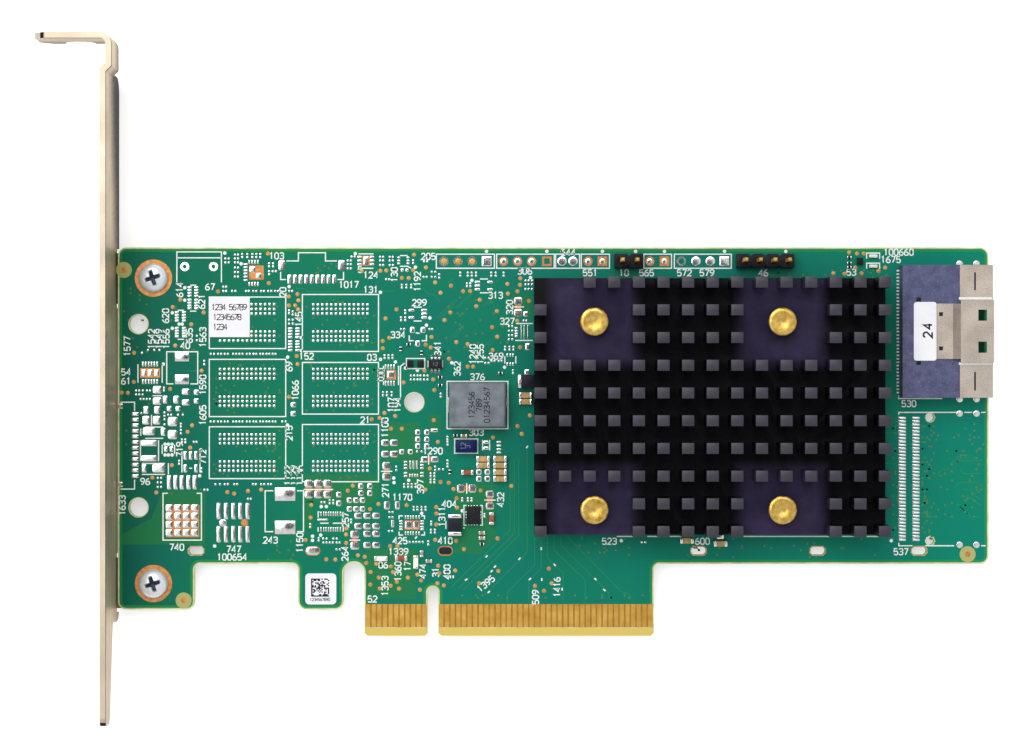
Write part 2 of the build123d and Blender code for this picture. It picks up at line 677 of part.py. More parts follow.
# Port shell: a folded sheet over the mouth, raised in the middle, with a flap to the rear
shell_low = PORT_Y - PORT_WIDTH / 2
shell_high = PORT_Y + PORT_WIDTH / 2
centre_low = PORT_Y - PORT_CENTRE_WIDTH / 2
centre_high = PORT_Y + PORT_CENTRE_WIDTH / 2
centre_top = PORT_HEIGHT + PORT_CENTRE_RISE
with BuildPart() as port_shell:
    # The folded sheet seen from the plug's side
    with BuildSketch(Plane.YZ.offset(SHELL_BACK)):
        with BuildLine():
            Polyline(
                (shell_low, 0),
                (shell_low, PORT_HEIGHT),
                (centre_low, PORT_HEIGHT),
                (centre_low, centre_top),
                (centre_high, centre_top),
                (centre_high, PORT_HEIGHT),
                (shell_high, PORT_HEIGHT),
                (shell_high, 0),
                (shell_high - PORT_SHEET, 0),
                (shell_high - PORT_SHEET, PORT_HEIGHT - PORT_SHEET),
                (centre_high - PORT_SHEET, PORT_HEIGHT - PORT_SHEET),
                (centre_high - PORT_SHEET, centre_top - PORT_SHEET),
                (centre_low + PORT_SHEET, centre_top - PORT_SHEET),
                (centre_low + PORT_SHEET, PORT_HEIGHT - PORT_SHEET),
                (shell_low + PORT_SHEET, PORT_HEIGHT - PORT_SHEET),
                (shell_low + PORT_SHEET, 0),
                close=True,
            )
        make_face()
    extrude(amount=PORT_SHELL_LENGTH)
    # The raised middle slopes down to a flap that lies on the housing
    with BuildSketch(Plane.XZ.offset(-(centre_low + PORT_FLAP_INSET))):
        with BuildLine():
            Polyline(
                (flap_back, HOUSING_TOP),
                (flap_back, HOUSING_TOP + PORT_SHEET),
                (SHELL_BACK - PORT_CENTRE_RISE, HOUSING_TOP + PORT_SHEET),
                (SHELL_BACK, centre_top),
                (SHELL_BACK, centre_top - PORT_SHEET),
                (SHELL_BACK - PORT_CENTRE_RISE + PORT_SHEET, HOUSING_TOP),
                close=True,
            )
        make_face()
    extrude(amount=-(PORT_CENTRE_WIDTH - 2 * PORT_FLAP_INSET))
    # Two catch windows for the plug in the raised middle, two pin holes in the flap
    with BuildSketch(Plane.XY.offset(centre_top)):
        with Locations((PORT_FRONT - WINDOW_SETBACK, PORT_Y)):
            with GridLocations(0, WINDOW_SPACING, 1, 2):
                Rectangle(WINDOW_LENGTH, WINDOW_WIDTH)
        with Locations((flap_back + FLAP_HOLE, PORT_Y)):
            with GridLocations(0, FLAP_HOLE_SPACING, 1, 2):
                Rectangle(FLAP_HOLE, FLAP_HOLE)
    extrude(amount=-PORT_CENTRE_RISE - PORT_SHEET, mode=Mode.SUBTRACT)
    # Solder legs through the board
    with BuildSketch(Plane.XY):
        with Locations(leg_places):
            Rectangle(LEG_WIDTH, PORT_SHEET)
    extrude(amount=-LEG_LENGTH)
keep(port_shell, "port_shell")

# Port contacts: a comb of solder tails that come out under the housing's back
with BuildPart() as port_contacts:
    with BuildSketch(Plane.XY):
        with Locations((HOUSING_BACK, PORT_Y)):
            with GridLocations(0, PORT_PITCH, 1, PORT_COUNT):
                Rectangle(TAIL_FOOT, TAIL_WIDTH)
    extrude(amount=TAIL_THICK)
keep(port_contacts, "port_contacts")

# White label on the housing, beside the flap
with BuildPart() as port_label:
    with BuildSketch(Plane.XY.offset(HOUSING_TOP)):
        with Locations((flap_back - PORT_LABEL_GAP - PORT_LABEL_LENGTH / 2, PORT_Y)):
            chamfered(PORT_LABEL_LENGTH, PORT_CENTRE_WIDTH - 2 * PORT_LABEL_INSET, LABEL_CORNER)
    extrude(amount=LABEL_THICK)
keep(port_label, "port_label")

# Pin headers: a notched moulding and square pins soldered behind the board
with BuildPart() as header_bodies:
    for first, count in HEADER_STARTS:
        with BuildSketch(Plane.XY):
            for i in range(count):
                with Locations((first + i * HEADER_PITCH, HEADER_Y)):
                    Rectangle(HEADER_PITCH, HEADER_WIDTH)
            for i in range(1, count):
                corner_x = first + (i - 0.5) * HEADER_PITCH
                for side in (1, -1):
                    with Locations((corner_x, HEADER_Y + side * HEADER_WIDTH / 2)):
                        Rectangle(HEADER_NOTCH, HEADER_NOTCH, rotation=45, mode=Mode.SUBTRACT)
            with Locations([(first + i * HEADER_PITCH, HEADER_Y) for i in range(count)]):
                Rectangle(HEADER_PIN, HEADER_PIN, mode=Mode.SUBTRACT)
        extrude(amount=HEADER_HEIGHT)
keep(header_bodies, "header_bodies")

with BuildPart() as header_pins:
    with BuildSketch(Plane.XY.offset(BACK - HEADER_TAIL)):
        with Locations(header_places):
            Rectangle(HEADER_PIN, HEADER_PIN)
    extrude(amount=HEADER_TAIL + BOARD_THICK + HEADER_PIN_TOP)
    pin_tips = header_pins.faces().sort_by(Axis.Z)[-len(header_places):].edges()
    chamfer(pin_tips, HEADER_PIN_CHAMFER)
keep(header_pins, "header_pins")


def boxes(places, length, width, height, base=0.0):
    """Adds upright blocks of one size to the open part: each place is x, y and its turn."""
    with Locations([Location((x, y, base + height / 2), (0, 0, turn)) for x, y, turn in places]):
        Box(length, width, abs(height))


def end_places(places, length, end):
    """Where the two ends of each two-ended part lie, outside its body."""
    reach = length / 2 - end / 2
    ends = []
    for x, y, turn in places:
        for side in (1, -1):
            if turn:
                ends.append((x, y + side * reach, turn))
            else:
                ends.append((x + side * reach, y, turn))
    return ends


def two_ended(name, places, length, width, height, end):
    """Bodies and soldered ends of one kind of part, as two nodes."""
    with BuildPart() as bodies:
        boxes(places, length - 2 * end, width, height)
    keep(bodies, f"{name}_bodies")
    with BuildPart() as ends:
        boxes(end_places(places, length, end), end, width + 2 * END_WRAP, height + END_WRAP)
    keep(ends, f"{name}_ends")


# Two-ended parts: capacitors, fuses and resistors
tan_capacitors = [
    (8.9, 31.43, 0),
    (8.9, 30.28, 0),
    (11.9, 31.45, 0),
    (11.9, 30.26, 0),
    (11.9, 29.07, 0),
    (11.9, 27.88, 0),
    (16.45, 42.7, 0),
    (16.45, 41.55, 0),
    (45.0, 16.95, 0),
    (50.95, 16.4, 0),
]
brown_capacitors = [(6.12, 29.02, 0), (-5.62, 13.83, 0), (10.4, 20.85, 90)]
small_capacitors = [(8.7, 18.3, 0), (8.7, 17.37, 0), (-2.0, 14.6, 90), (-0.7, 13.3, 0), (5.5, 35.5, 0)]
small_resistors = [
    (1.3, 45.85, 0),
    (1.3, 44.45, 0),
    (12.0, 46.6, 0),
    (4.0, 35.55, 0),
    (3.0, 29.1, 90),
    (-4.3, 51.7, 0),
    (-2.0, 50.2, 90),
    (-5.7, 50.9, 90),
    (8.7, 16.3, 0),
    (73.8, 67.1, 0),
    (73.8, 66.1, 0),
    (73.8, 65.35, 0),
]
fuses = [(-9.2, 13.75, 0), (-3.03, 13.1, 90)]
# Small chip inductors: one stands free, the other reaches under the heat sink
chokes = [(3.92, 19.77, 90), (16.95, 45.15, 0)]
two_ended("tan_capacitor", tan_capacitors, TAN_LENGTH, TAN_WIDTH, TAN_HEIGHT, TAN_END)
two_ended("brown_capacitor", brown_capacitors, BROWN_LENGTH, BROWN_WIDTH, BROWN_HEIGHT, BROWN_END)
two_ended("small_capacitor", small_capacitors, SMALL_LENGTH, SMALL_WIDTH, SMALL_HEIGHT, SMALL_END)
two_ended("small_resistor", small_resistors, RESISTOR_LENGTH, RESISTOR_WIDTH, RESISTOR_HEIGHT, RESISTOR_END)
two_ended("fuse", fuses, FUSE_LENGTH, FUSE_WIDTH, FUSE_HEIGHT, FUSE_END)
two_ended("choke", chokes, CHOKE_LENGTH, CHOKE_WIDTH, CHOKE_HEIGHT, CHOKE_END)

# Power inductor: a pressed powder block with a terminal wrapped under each end
with BuildPart() as power_inductor_core:
    with BuildSketch(Plane.XY.offset(TERMINAL_THICK)):
        with Locations((POWER_COIL_X, POWER_COIL_Y)):
            Rectangle(POWER_COIL_LENGTH, POWER_COIL_WIDTH)
    extrude(amount=POWER_COIL_HEIGHT)
    chamfer(power_inductor_core.faces().sort_by(Axis.Z)[-1].edges(), POWER_COIL_CHAMFER)
keep(power_inductor_core, "power_inductor_core")

with BuildPart() as power_inductor_terminals:
    for side in (1, -1):
        end_x = POWER_COIL_X + side * POWER_COIL_LENGTH / 2
        with BuildSketch(Plane.XZ.offset(-(POWER_COIL_Y - TERMINAL_WIDTH / 2))):
            with BuildLine():
                Polyline(
                    (end_x - side * TERMINAL_REACH, 0),
                    (end_x + side * TERMINAL_THICK, 0),
                    (end_x + side * TERMINAL_THICK, TERMINAL_RISE),
                    (end_x, TERMINAL_RISE),
                    (end_x, TERMINAL_THICK),
                    (end_x - side * TERMINAL_REACH, TERMINAL_THICK),
                    close=True,
                )
            make_face()
        extrude(amount=-TERMINAL_WIDTH)
keep(power_inductor_terminals, "power_inductor_terminals")

# Dark blue power module and the flat chips
with BuildPart() as power_module:
    boxes([(MODULE_X, MODULE_Y, 0)], MODULE_LENGTH, MODULE_WIDTH, MODULE_HEIGHT)
keep(power_module, "power_module")

with BuildPart() as regulator_chip:
    boxes([(REGULATOR_X, REGULATOR_Y, 0)], REGULATOR_LENGTH, REGULATOR_WIDTH, REGULATOR_HEIGHT)
keep(regulator_chip, "regulator_chip")

array_places = [(-4.05, 48.25, 0), (-2.2, 48.25, 0), (75.65, HEADER_Y, 0)]
with BuildPart() as array_chips:
    boxes(array_places, ARRAY_LENGTH, ARRAY_WIDTH, ARRAY_HEIGHT)
keep(array_chips, "array_chips")

# Six-leg chip: a moulding with gull wing legs
with BuildPart() as six_leg_chip_body:
    boxes([(GULL_X, GULL_Y, 0)], GULL_LENGTH, GULL_WIDTH, GULL_HEIGHT, LEG_SHEET)
keep(six_leg_chip_body, "six_leg_chip_body")

with BuildPart() as six_leg_chip_legs:
    for i in (-1, 0, 1):
        for side in (1, -1):
            wall_y = GULL_Y + side * GULL_WIDTH / 2
            with BuildSketch(Plane.YZ.offset(GULL_X + i * GULL_PITCH - GULL_LEG / 2)):
                with BuildLine():
                    Polyline(
                        (wall_y, GULL_HEIGHT / 2),
                        (wall_y, GULL_HEIGHT / 2 + LEG_SHEET),
                        (wall_y + side * GULL_SHOULDER, GULL_HEIGHT / 2 + LEG_SHEET),
                        (wall_y + side * (GULL_SHOULDER + LEG_SHEET), LEG_SHEET),
                        (wall_y + side * GULL_REACH, LEG_SHEET),
                        (wall_y + side * GULL_REACH, 0),
                        (wall_y + side * GULL_SHOULDER, 0),
                        (wall_y + side * (GULL_SHOULDER - LEG_SHEET), GULL_HEIGHT / 2),
                        close=True,
                    )
                make_face()
            extrude(amount=GULL_LEG)
keep(six_leg_chip_legs, "six_leg_chip_legs")

# Status lamps beside the port
lamp_places = [(LAMP_X, HEADER_Y + side * LAMP_SPACING / 2, 0) for side in (1, -1)]
with BuildPart() as status_lamps:
    boxes(lamp_places, LAMP_LENGTH, LAMP_WIDTH, LAMP_HEIGHT)
keep(status_lamps, "status_lamps")

# Stickers on the board and on the retention hook
with BuildPart() as board_label:
    boxes([(BOARD_LABEL_X, BOARD_LABEL_Y, 0)], BOARD_LABEL_LENGTH, BOARD_LABEL_WIDTH, LABEL_THICK)
keep(board_label, "board_label")

hook_label_place = ((HOOK_LEFT + HOOK_RIGHT) / 2, FOOT_EDGE + HOOK_LABEL_RISE + HOOK_LABEL_SIZE / 2, 0)
with BuildPart() as hook_label:
    boxes([hook_label_place], HOOK_LABEL_SIZE, HOOK_LABEL_SIZE, LABEL_THICK)
keep(hook_label, "hook_label")

# Tinned lands of the two coils that are not fitted
with BuildPart() as coil_lands:
    for x, y, length, width in COIL_LANDS:
        boxes([(x, y, 0)], length, width, LAND_THICK)
keep(coil_lands, "coil_lands")
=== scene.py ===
# %% [markdown]
# # A raid controller card
# The card lies flat and is seen from straight above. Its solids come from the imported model,
# at their real size. This lesson gives them their finishes and adds what is too fine for
# solids: solder pads, ring pads, copper dots, white print and the traces under the lacquer.

import math
import random

import bmesh
import bpy
from mathutils import Matrix, Vector


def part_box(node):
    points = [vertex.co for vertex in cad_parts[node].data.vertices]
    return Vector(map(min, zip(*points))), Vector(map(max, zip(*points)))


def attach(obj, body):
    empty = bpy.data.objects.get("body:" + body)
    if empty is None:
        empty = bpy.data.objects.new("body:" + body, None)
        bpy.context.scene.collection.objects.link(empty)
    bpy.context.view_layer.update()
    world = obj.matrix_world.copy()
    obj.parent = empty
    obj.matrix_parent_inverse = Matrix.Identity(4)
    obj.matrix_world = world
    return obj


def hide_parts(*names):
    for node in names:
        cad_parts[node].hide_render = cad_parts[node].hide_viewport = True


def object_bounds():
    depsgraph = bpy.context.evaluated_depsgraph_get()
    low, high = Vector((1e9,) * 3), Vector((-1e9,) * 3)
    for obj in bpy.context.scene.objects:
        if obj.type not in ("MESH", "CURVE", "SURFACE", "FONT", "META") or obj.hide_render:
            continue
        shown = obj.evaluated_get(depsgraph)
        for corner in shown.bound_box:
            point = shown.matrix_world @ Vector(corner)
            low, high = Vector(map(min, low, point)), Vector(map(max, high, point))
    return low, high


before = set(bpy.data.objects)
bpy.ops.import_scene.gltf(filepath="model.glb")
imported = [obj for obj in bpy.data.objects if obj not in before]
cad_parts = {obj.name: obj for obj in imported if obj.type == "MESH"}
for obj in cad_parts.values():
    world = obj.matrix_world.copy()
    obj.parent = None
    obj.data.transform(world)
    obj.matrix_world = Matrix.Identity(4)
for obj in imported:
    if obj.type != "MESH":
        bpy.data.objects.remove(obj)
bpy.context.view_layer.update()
MM = 0.001

# %% [markdown]
# ## Camera, light and floor
# The photograph was taken from about half a metre straight above the middle of the card, so the
# camera is a long lens that looks straight down. A wide soft lamp and an even pale surrounding
# stand for the white tent of a product photograph.

# %% The camera above the card
CAMERA_X = 14.02
CAMERA_Y = 46.54
CAMERA_HEIGHT = 530.0
VIEW_WIDTH = 181.56
SENSOR_WIDTH = 36.0

camera_data = bpy.data.cameras.new("view_from_above")
camera_data.sensor_width = SENSOR_WIDTH
camera_data.lens = SENSOR_WIDTH * CAMERA_HEIGHT / VIEW_WIDTH
camera = bpy.data.objects.new("view_from_above", camera_data)
camera.location = Vector((CAMERA_X, CAMERA_Y, CAMERA_HEIGHT)) * MM
bpy.context.scene.collection.objects.link(camera)
bpy.context.scene.camera = camera
bpy.context.scene.view_settings.view_transform = "Standard"
print("lens", round(camera_data.lens, 2), "mm")

# %% [markdown]
# ### Helpers for every finish
# A finish is a graph of small nodes. Written out in full each node takes several lines, so one
# function adds a node with its settings and links. Another turns the hex colours that a designer
# reads into the linear values that a shader needs, and a third turns a size in millimetres into
# the scale of a pattern.

# %% Colours, pattern sizes and nodes
def linear(hex_colour):
    """Turns an sRGB hex colour into the linear values that a shader takes."""
    parts = [int(hex_colour[i:i + 2], 16) / 255 for i in (1, 3, 5)]
    return [p / 12.92 if p <= 0.04045 else ((p + 0.055) / 1.055) ** 2.4 for p in parts] + [1.0]


def per_mm(size):
    """The scale of a pattern whose features are this many millimetres across."""
    return 1.0 / (size * MM)


def add(tree, kind, inputs=None, **settings):
    """Adds a node, sets its options, and fills its inputs with values or links."""
    node = tree.nodes.new("ShaderNode" + kind)
    for key, value in settings.items():
        setattr(node, key, value)
    for key, value in (inputs or {}).items():
        if isinstance(value, bpy.types.NodeSocket):
            tree.links.new(value, node.inputs[key])
        else:
            node.inputs[key].default_value = value
    return node


def new_finish(name):
    """An empty material with one principled surface."""
    material = bpy.data.materials.new(name)
    material.use_nodes = True
    tree = material.node_tree
    tree.nodes.clear()
    surface = add(tree, "BsdfPrincipled")
    add(tree, "OutputMaterial", {"Surface": surface.outputs["BSDF"]})
    return material, tree, surface


print("white is", linear("#ffffff"))

# %% [markdown]
# ### Light
# A product is photographed inside white cloth, so light comes from all round and leaves hardly a
# shadow. The world gives that even light. One wide lamp above the far left adds a slightly
# brighter side, which lets edges and low domes show.

# %% Even surroundings and one wide soft lamp
AROUND = 0.68
LAMP_SIZE = 900.0
LAMP_HEIGHT = 900.0
LAMP_LEFT = 250.0
LAMP_BACK = 420.0
LAMP_POWER = 6.0

world = bpy.data.worlds.new("white_tent")
world.use_nodes = True
world.node_tree.nodes["Background"].inputs["Color"].default_value = (1.0, 1.0, 1.0, 1.0)
world.node_tree.nodes["Background"].inputs["Strength"].default_value = AROUND
bpy.context.scene.world = world

lamp_data = bpy.data.lights.new("soft_lamp", "AREA")
lamp_data.size = LAMP_SIZE * MM
lamp_data.energy = LAMP_POWER
lamp = bpy.data.objects.new("soft_lamp", lamp_data)
lamp.location = Vector((CAMERA_X - LAMP_LEFT, CAMERA_Y + LAMP_BACK, LAMP_HEIGHT)) * MM
aim = Vector((CAMERA_X, CAMERA_Y, 0)) * MM - lamp.location
lamp.rotation_euler = aim.to_track_quat("-Z", "Y").to_euler()
bpy.context.scene.collection.objects.link(lamp)
print("lamp", LAMP_SIZE, "mm wide at", LAMP_HEIGHT, "mm")

# %% [markdown]
# ### Floor
# The card lies on white paper. More light would bleach the card, so the floor gets the last of
# its white from a glow that only the camera and mirrored rays see. It still takes the shadow.

# %% The floor, white to the camera with a faint shadow
FLOOR_SIZE = 4000.0
FLOOR_GLOW = 0.5

floor_material, tree, surface = new_finish("white_card")
surface.inputs["Base Color"].default_value = linear("#f4f4f4")
surface.inputs["Roughness"].default_value = 0.9
surface.inputs["Emission Color"].default_value = (1.0, 1.0, 1.0, 1.0)
path = add(tree, "LightPath").outputs
seen = add(tree, "Math", {0: path["Is Camera Ray"], 1: path["Is Glossy Ray"]}, operation="MAXIMUM")
seen = add(tree, "Math", {0: seen.outputs[0], 1: path["Is Transmission Ray"]}, operation="MAXIMUM")
glow = add(tree, "Math", {0: seen.outputs[0], 1: FLOOR_GLOW}, operation="MULTIPLY")
tree.links.new(glow.outputs[0], surface.inputs["Emission Strength"])

floor_mesh = bpy.data.meshes.new("floor")
half = FLOOR_SIZE * MM / 2
floor_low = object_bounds()[0].z
corners = [(sx * half, sy * half, floor_low) for sx, sy in ((-1, -1), (1, -1), (1, 1), (-1, 1))]
floor_mesh.from_pydata(corners, [], [(0, 1, 2, 3)])
floor_mesh.materials.append(floor_material)
floor = bpy.data.objects.new("floor", floor_mesh)
bpy.context.scene.collection.objects.link(floor)
print("floor at", round(floor_low / MM, 2), "mm")

# %% [markdown]
# ### What bright metal mirrors
# Solder and plated steel mirror what is above them, which in a photograph from straight above is
# the camera itself. A dark disc stands for it. Only mirrored rays see it, so it darkens nothing
# else.

# %% The dark camera body
BODY_RADIUS = 115.0
BODY_HEIGHT = 545.0
BODY_SIDES = 48

body_material, tree, surface = new_finish("camera_body_black")
surface.inputs["Base Color"].default_value = linear("#050505")
surface.inputs["Roughness"].default_value = 0.9
body_mesh = bpy.data.meshes.new("camera_body")
turns = [2 * math.pi * i / BODY_SIDES for i in range(BODY_SIDES)]
body_edge = [((CAMERA_X + BODY_RADIUS * math.cos(a)) * MM, (CAMERA_Y + BODY_RADIUS * math.sin(a)) * MM,
              BODY_HEIGHT * MM) for a in turns]
body_mesh.from_pydata(body_edge, [], [tuple(range(BODY_SIDES))[::-1]])
body_mesh.materials.append(body_material)
body = bpy.data.objects.new("camera_body", body_mesh)
bpy.context.scene.collection.objects.link(body)
body.visible_camera = False
body.visible_diffuse = False
body.visible_shadow = False
print("camera body", 2 * BODY_RADIUS, "mm wide")

# %% [markdown]
# ## Finishes
# Each finish starts from what the real one is. Most small parts are one material whose tone
# drifts a little and whose skin has a fine grain, so one function makes that, from real sizes in
# millimetres. Grain finer than a tenth of a millimetre would not show, so it is drawn that coarse.
# The board, the steel sheets and the port's moulding have patterns of their own.

# %% A finish whose tone drifts and whose skin has a grain
def drifting(name, dark, light, drift, grain, rough, metal=0.0, bump=0.15, coat=0.0, shine=0.15):
    """One colour that drifts between two tones over so many mm, with a grain of so many mm."""
    material, tree, surface = new_finish(name)
    place = add(tree, "TexCoord").outputs["Object"]
    tone = add(tree, "TexNoise", {"Vector": place, "Scale": per_mm(drift), "Detail": 3.0})
    skin = add(tree, "TexNoise", {"Vector": place, "Scale": per_mm(grain), "Detail": 2.0})
    blend = add(tree, "MapRange", {0: tone.outputs[0], 1: 0.3, 2: 0.7})
    colour = add(tree, "Mix", {0: blend.outputs[0], 6: linear(dark), 7: linear(light)}, data_type="RGBA")
    dull = add(tree, "MapRange", {0: skin.outputs[0], 1: 0.3, 2: 0.7, 3: rough * 0.8, 4: rough * 1.2})
    relief = add(tree, "Bump", {"Height": skin.outputs[0], "Strength": bump, "Distance": grain * MM * 0.3})
    tree.links.new(colour.outputs[2], surface.inputs["Base Color"])
    tree.links.new(dull.outputs[0], surface.inputs["Roughness"])
    tree.links.new(relief.outputs[0], surface.inputs["Normal"])
    surface.inputs["Metallic"].default_value = metal
    surface.inputs["Coat Weight"].default_value = coat
    surface.inputs["Specular IOR Level"].default_value = shine
    return material


print("grain and drift made by one function")

# %% [markdown]
# ### Plain finishes
# Each line is one finish: two tones, the size of its drift and of its grain, its roughness, how
# metallic it is and how strong the grain stands out. The values start from what is usual for the
# material and were then matched to the object.

# %% Plain finishes, each with what it gives the eye
FINISHES = {
    # Solder levelled with hot air: bright, a little crystalline, white under a tent
    "solder": drifting("bright_solder", "#e6e5e2", "#ffffff", 0.5, 0.2, 0.17, 1.0, 0.06),
    # Bare copper kept from tarnish by a clear film: warm tan
    "copper": drifting("protected_copper", "#b8713c", "#dc9d62", 0.7, 0.1, 0.34, 0.5, 0.2),
    # A plated dot of copper under thin gold: matt, paler than the fingers
    "via_gold": drifting("plated_dot", "#b98542", "#dfae6c", 0.8, 0.1, 0.4, 0.2, 0.1),
    # Hard gold over nickel, rubbed by sockets: deep yellow with soft highlights
    "gold": drifting("hard_gold", "#c4923a", "#e2b45c", 2.4, 0.2, 0.36, 0.5, 0.1),
    # Epoxy glass laminate where the lacquer stops: pale yellow-green, dull
    "laminate": drifting("epoxy_glass", "#b9c07e", "#e6e4b4", 2.0, 0.15, 0.6, 0.0, 0.15),
    # Laminate between the fingers: brown, with a painted reflection of the gold
    "contact_gap": drifting("gap_with_painted_gold_reflection", "#9a7026", "#b48a3a", 1.5, 0.2, 0.6),
    # Screen-printed epoxy ink: matt white
    "ink": drifting("white_print", "#e3f0ea", "#ffffff", 0.8, 0.08, 0.6),
    # Thermal print on labels: matt blue-black. It also paints shade into the port's pits, slits and openings
    "dark_ink_and_painted_shade": drifting("dark_print_and_painted_shade", "#1c1d22", "#2c2e36", 0.8, 0.08, 0.6),
    # Coated label paper: smooth, faintly blue
    "paper": drifting("label_paper", "#eeeef4", "#fbfbff", 4.0, 0.1, 0.6, 0.0, 0.08),
    # Turned brass, a little rubbed on its faces: yellow with bright turning marks
    "brass": drifting("turned_brass", "#c99a3a", "#f5d37a", 0.9, 0.1, 0.3, 0.9, 0.35),
    # Hard-drawn and plated wire: thin bright lines
    "spring": drifting("spring_wire", "#a5a6ab", "#d8d9dc", 1.0, 0.1, 0.25, 1.0, 0.05),
    # Moulded epoxy of chips and headers: flat black
    "black": drifting("black_epoxy", "#141418", "#26262c", 1.5, 0.08, 0.5, 0.0, 0.25),
    # Moulded iron powder of the small inductor: bluer and smoother than the chips
    "choke_black": drifting("moulded_choke", "#1a1a22", "#262632", 1.5, 0.08, 0.4, 0.0, 0.25),
    # Fired ceramic of three kinds of capacitor: satin, with the colour of its clay
    "tan": drifting("tan_ceramic", "#b08f55", "#d0b07c", 0.6, 0.06, 0.45),
    "brown": drifting("brown_ceramic", "#8a4a2c", "#b3674a", 0.6, 0.06, 0.45),
    "small_cap": drifting("grey_brown_ceramic", "#8c7c66", "#b3a388", 0.5, 0.06, 0.45),
    # Fired alumina of the fuses: plain white
    "white": drifting("white_ceramic", "#eceee8", "#ffffff", 0.6, 0.06, 0.5),
    # Pressed iron powder: mid grey with a slightly metallic grain
    "ferrite": drifting("pressed_iron_powder", "#666d74", "#868c94", 2.2, 0.12, 0.5, 0.15, 0.35),
    # Enamelled lid of the power module: very dark blue
    "module": drifting("blue_module", "#04123e", "#0c2060", 1.2, 0.08, 0.35),
    # Resin laminate under the controller's die: satin green
    "carrier": drifting("carrier_laminate", "#235c38", "#2d6e45", 4.0, 0.15, 0.4),
    # Ground back of the die: smooth dark grey
    "silicon": drifting("silicon_back", "#3a3b42", "#4a4b52", 3.0, 0.1, 0.2, 0.3),
    # Filled silicone of the thermal pad: soft and matt, blue-grey
    "pad_rubber": drifting("thermal_pad", "#7c8894", "#95a1ac", 2.0, 0.2, 0.8),
    # Clear lens over a pale lamp: glossy off-white
    "lens": drifting("lamp_lens", "#dfe3d2", "#f6f6ee", 0.5, 0.1, 0.3, 0.0, 0.1, 0.4),
}
print(len(FINISHES), "plain finishes")

# %% [markdown]
# ### Solder mask
# The green is a clear lacquer over copper and laminate. Copper planes show through as a
# bluer teal, bare laminate as a duller green, and the fine traces as faint lines. The tone
# follows the length of the board: it is darker by the bracket, a painted shadow of the bracket,
# and brighter to the right, with blotches some 15 mm across. The rim of the tongue is bevelled
# and bare.

# %% The lacquered board
BOARD_ENDS = (-56.0, 98.5)
TONGUE_TOP = 1.56
BLOTCH = 15.0
ORANGE_PEEL = 0.6


def lacquer(name, lift="#000000", share=0.0):
    """Green lacquer toned along the board, with painted shadow by the bracket, mixed with another tone by a
    share.
    """
    material, tree, surface = new_finish(name)
    place = add(tree, "TexCoord").outputs["Object"]
    x, y, _ = add(tree, "SeparateXYZ", {0: place}).outputs
    along = add(tree, "MapRange", {0: x, 1: BOARD_ENDS[0] * MM, 2: BOARD_ENDS[1] * MM})
    ramp = add(tree, "ValToRGB", {0: along.outputs[0]})
    # The dark tones at the bracket end are a painted shadow of the bracket.
    tones = ((0.0, "#03483a"), (0.06, "#056050"), (0.2, "#067858"), (0.36, "#047864"), (0.5, "#037c68"),
             (0.78, "#047a6a"), (1.0, "#038a74"))
    while len(ramp.color_ramp.elements) < len(tones):
        ramp.color_ramp.elements.new(0.5)
    for element, (position, tone) in zip(ramp.color_ramp.elements, tones):
        element.position = position
        element.color = linear(tone)
    blotch = add(tree, "TexNoise", {"Vector": place, "Scale": per_mm(BLOTCH), "Detail": 3.0})
    blotch = add(tree, "MapRange", {0: blotch.outputs[0], 1: 0.35, 2: 0.68})
    plane = add(tree, "Mix", {0: blotch.outputs[0], 6: linear("#088256"), 7: linear("#027068")},
                data_type="RGBA")
    toned = add(tree, "Mix", {0: 0.4, 6: ramp.outputs[0], 7: plane.outputs[2]}, data_type="RGBA")
    lifted = add(tree, "Mix", {0: share, 6: toned.outputs[2], 7: linear(lift)}, data_type="RGBA")
    bare = add(tree, "Math", {0: y, 1: TONGUE_TOP * MM}, operation="LESS_THAN")
    tongue = add(tree, "Mix", {0: bare.outputs[0], 6: lifted.outputs[2], 7: linear("#e3c768")},
                 data_type="RGBA")
    facing = add(tree, "SeparateXYZ", {0: add(tree, "NewGeometry").outputs["Normal"]}).outputs[2]
    upright = add(tree, "Math", {0: facing}, operation="ABSOLUTE")
    cut = add(tree, "Math", {0: upright.outputs[0], 1: 0.4}, operation="LESS_THAN")
    whole = add(tree, "Mix", {0: cut.outputs[0], 6: tongue.outputs[2], 7: linear("#c9cf8c")},
                data_type="RGBA")
    skin = add(tree, "TexNoise", {"Vector": place, "Scale": per_mm(ORANGE_PEEL), "Detail": 2.0})
    relief = add(tree, "Bump", {"Height": skin.outputs[0], "Strength": 0.12, "Distance": 0.02 * MM})
    tree.links.new(whole.outputs[2], surface.inputs["Base Color"])
    tree.links.new(relief.outputs[0], surface.inputs["Normal"])
    surface.inputs["Roughness"].default_value = 0.42
    surface.inputs["Specular IOR Level"].default_value = 0.1
    return material


FINISHES["mask"] = lacquer("green_lacquer")
FINISHES["mask_pour"] = lacquer("lacquer_on_laminate", "#2a7d38", 0.55)
FINISHES["trace_faint"] = lacquer("lacquer_on_trace", "#3f8f5c", 0.45)
FINISHES["trace_olive"] = lacquer("lacquer_on_dot", "#7d8432", 0.5)
print("lacquer tones made")

# %% [markdown]
# ### Black anodised aluminium
# The heat sink is bead-blasted and anodised black, which leaves a velvety violet-black. Its tops
# are painted paler, as painted light, and the floor between its pins and the lower part of the
# pins are painted nearly black, as painted shade. Only round the push pins, where the floor is
# open, is that shade left out, so the violet shows. Height and distance on the object itself
# carry that, so it holds from every side.

# %% Heat sink finish
PUSH_MIDDLE = Vector((44.86, 39.15, 0.0))
PUSH_REACH = Vector((16.45, 16.45, 0.0))
OPEN_FROM = 8.8
OPEN_FULL = 6.0
SINK_FLOOR = 5.5
FIN_SHADE = 11.5
FIN_TOP = 12.9
BLAST_GRAIN = 0.12


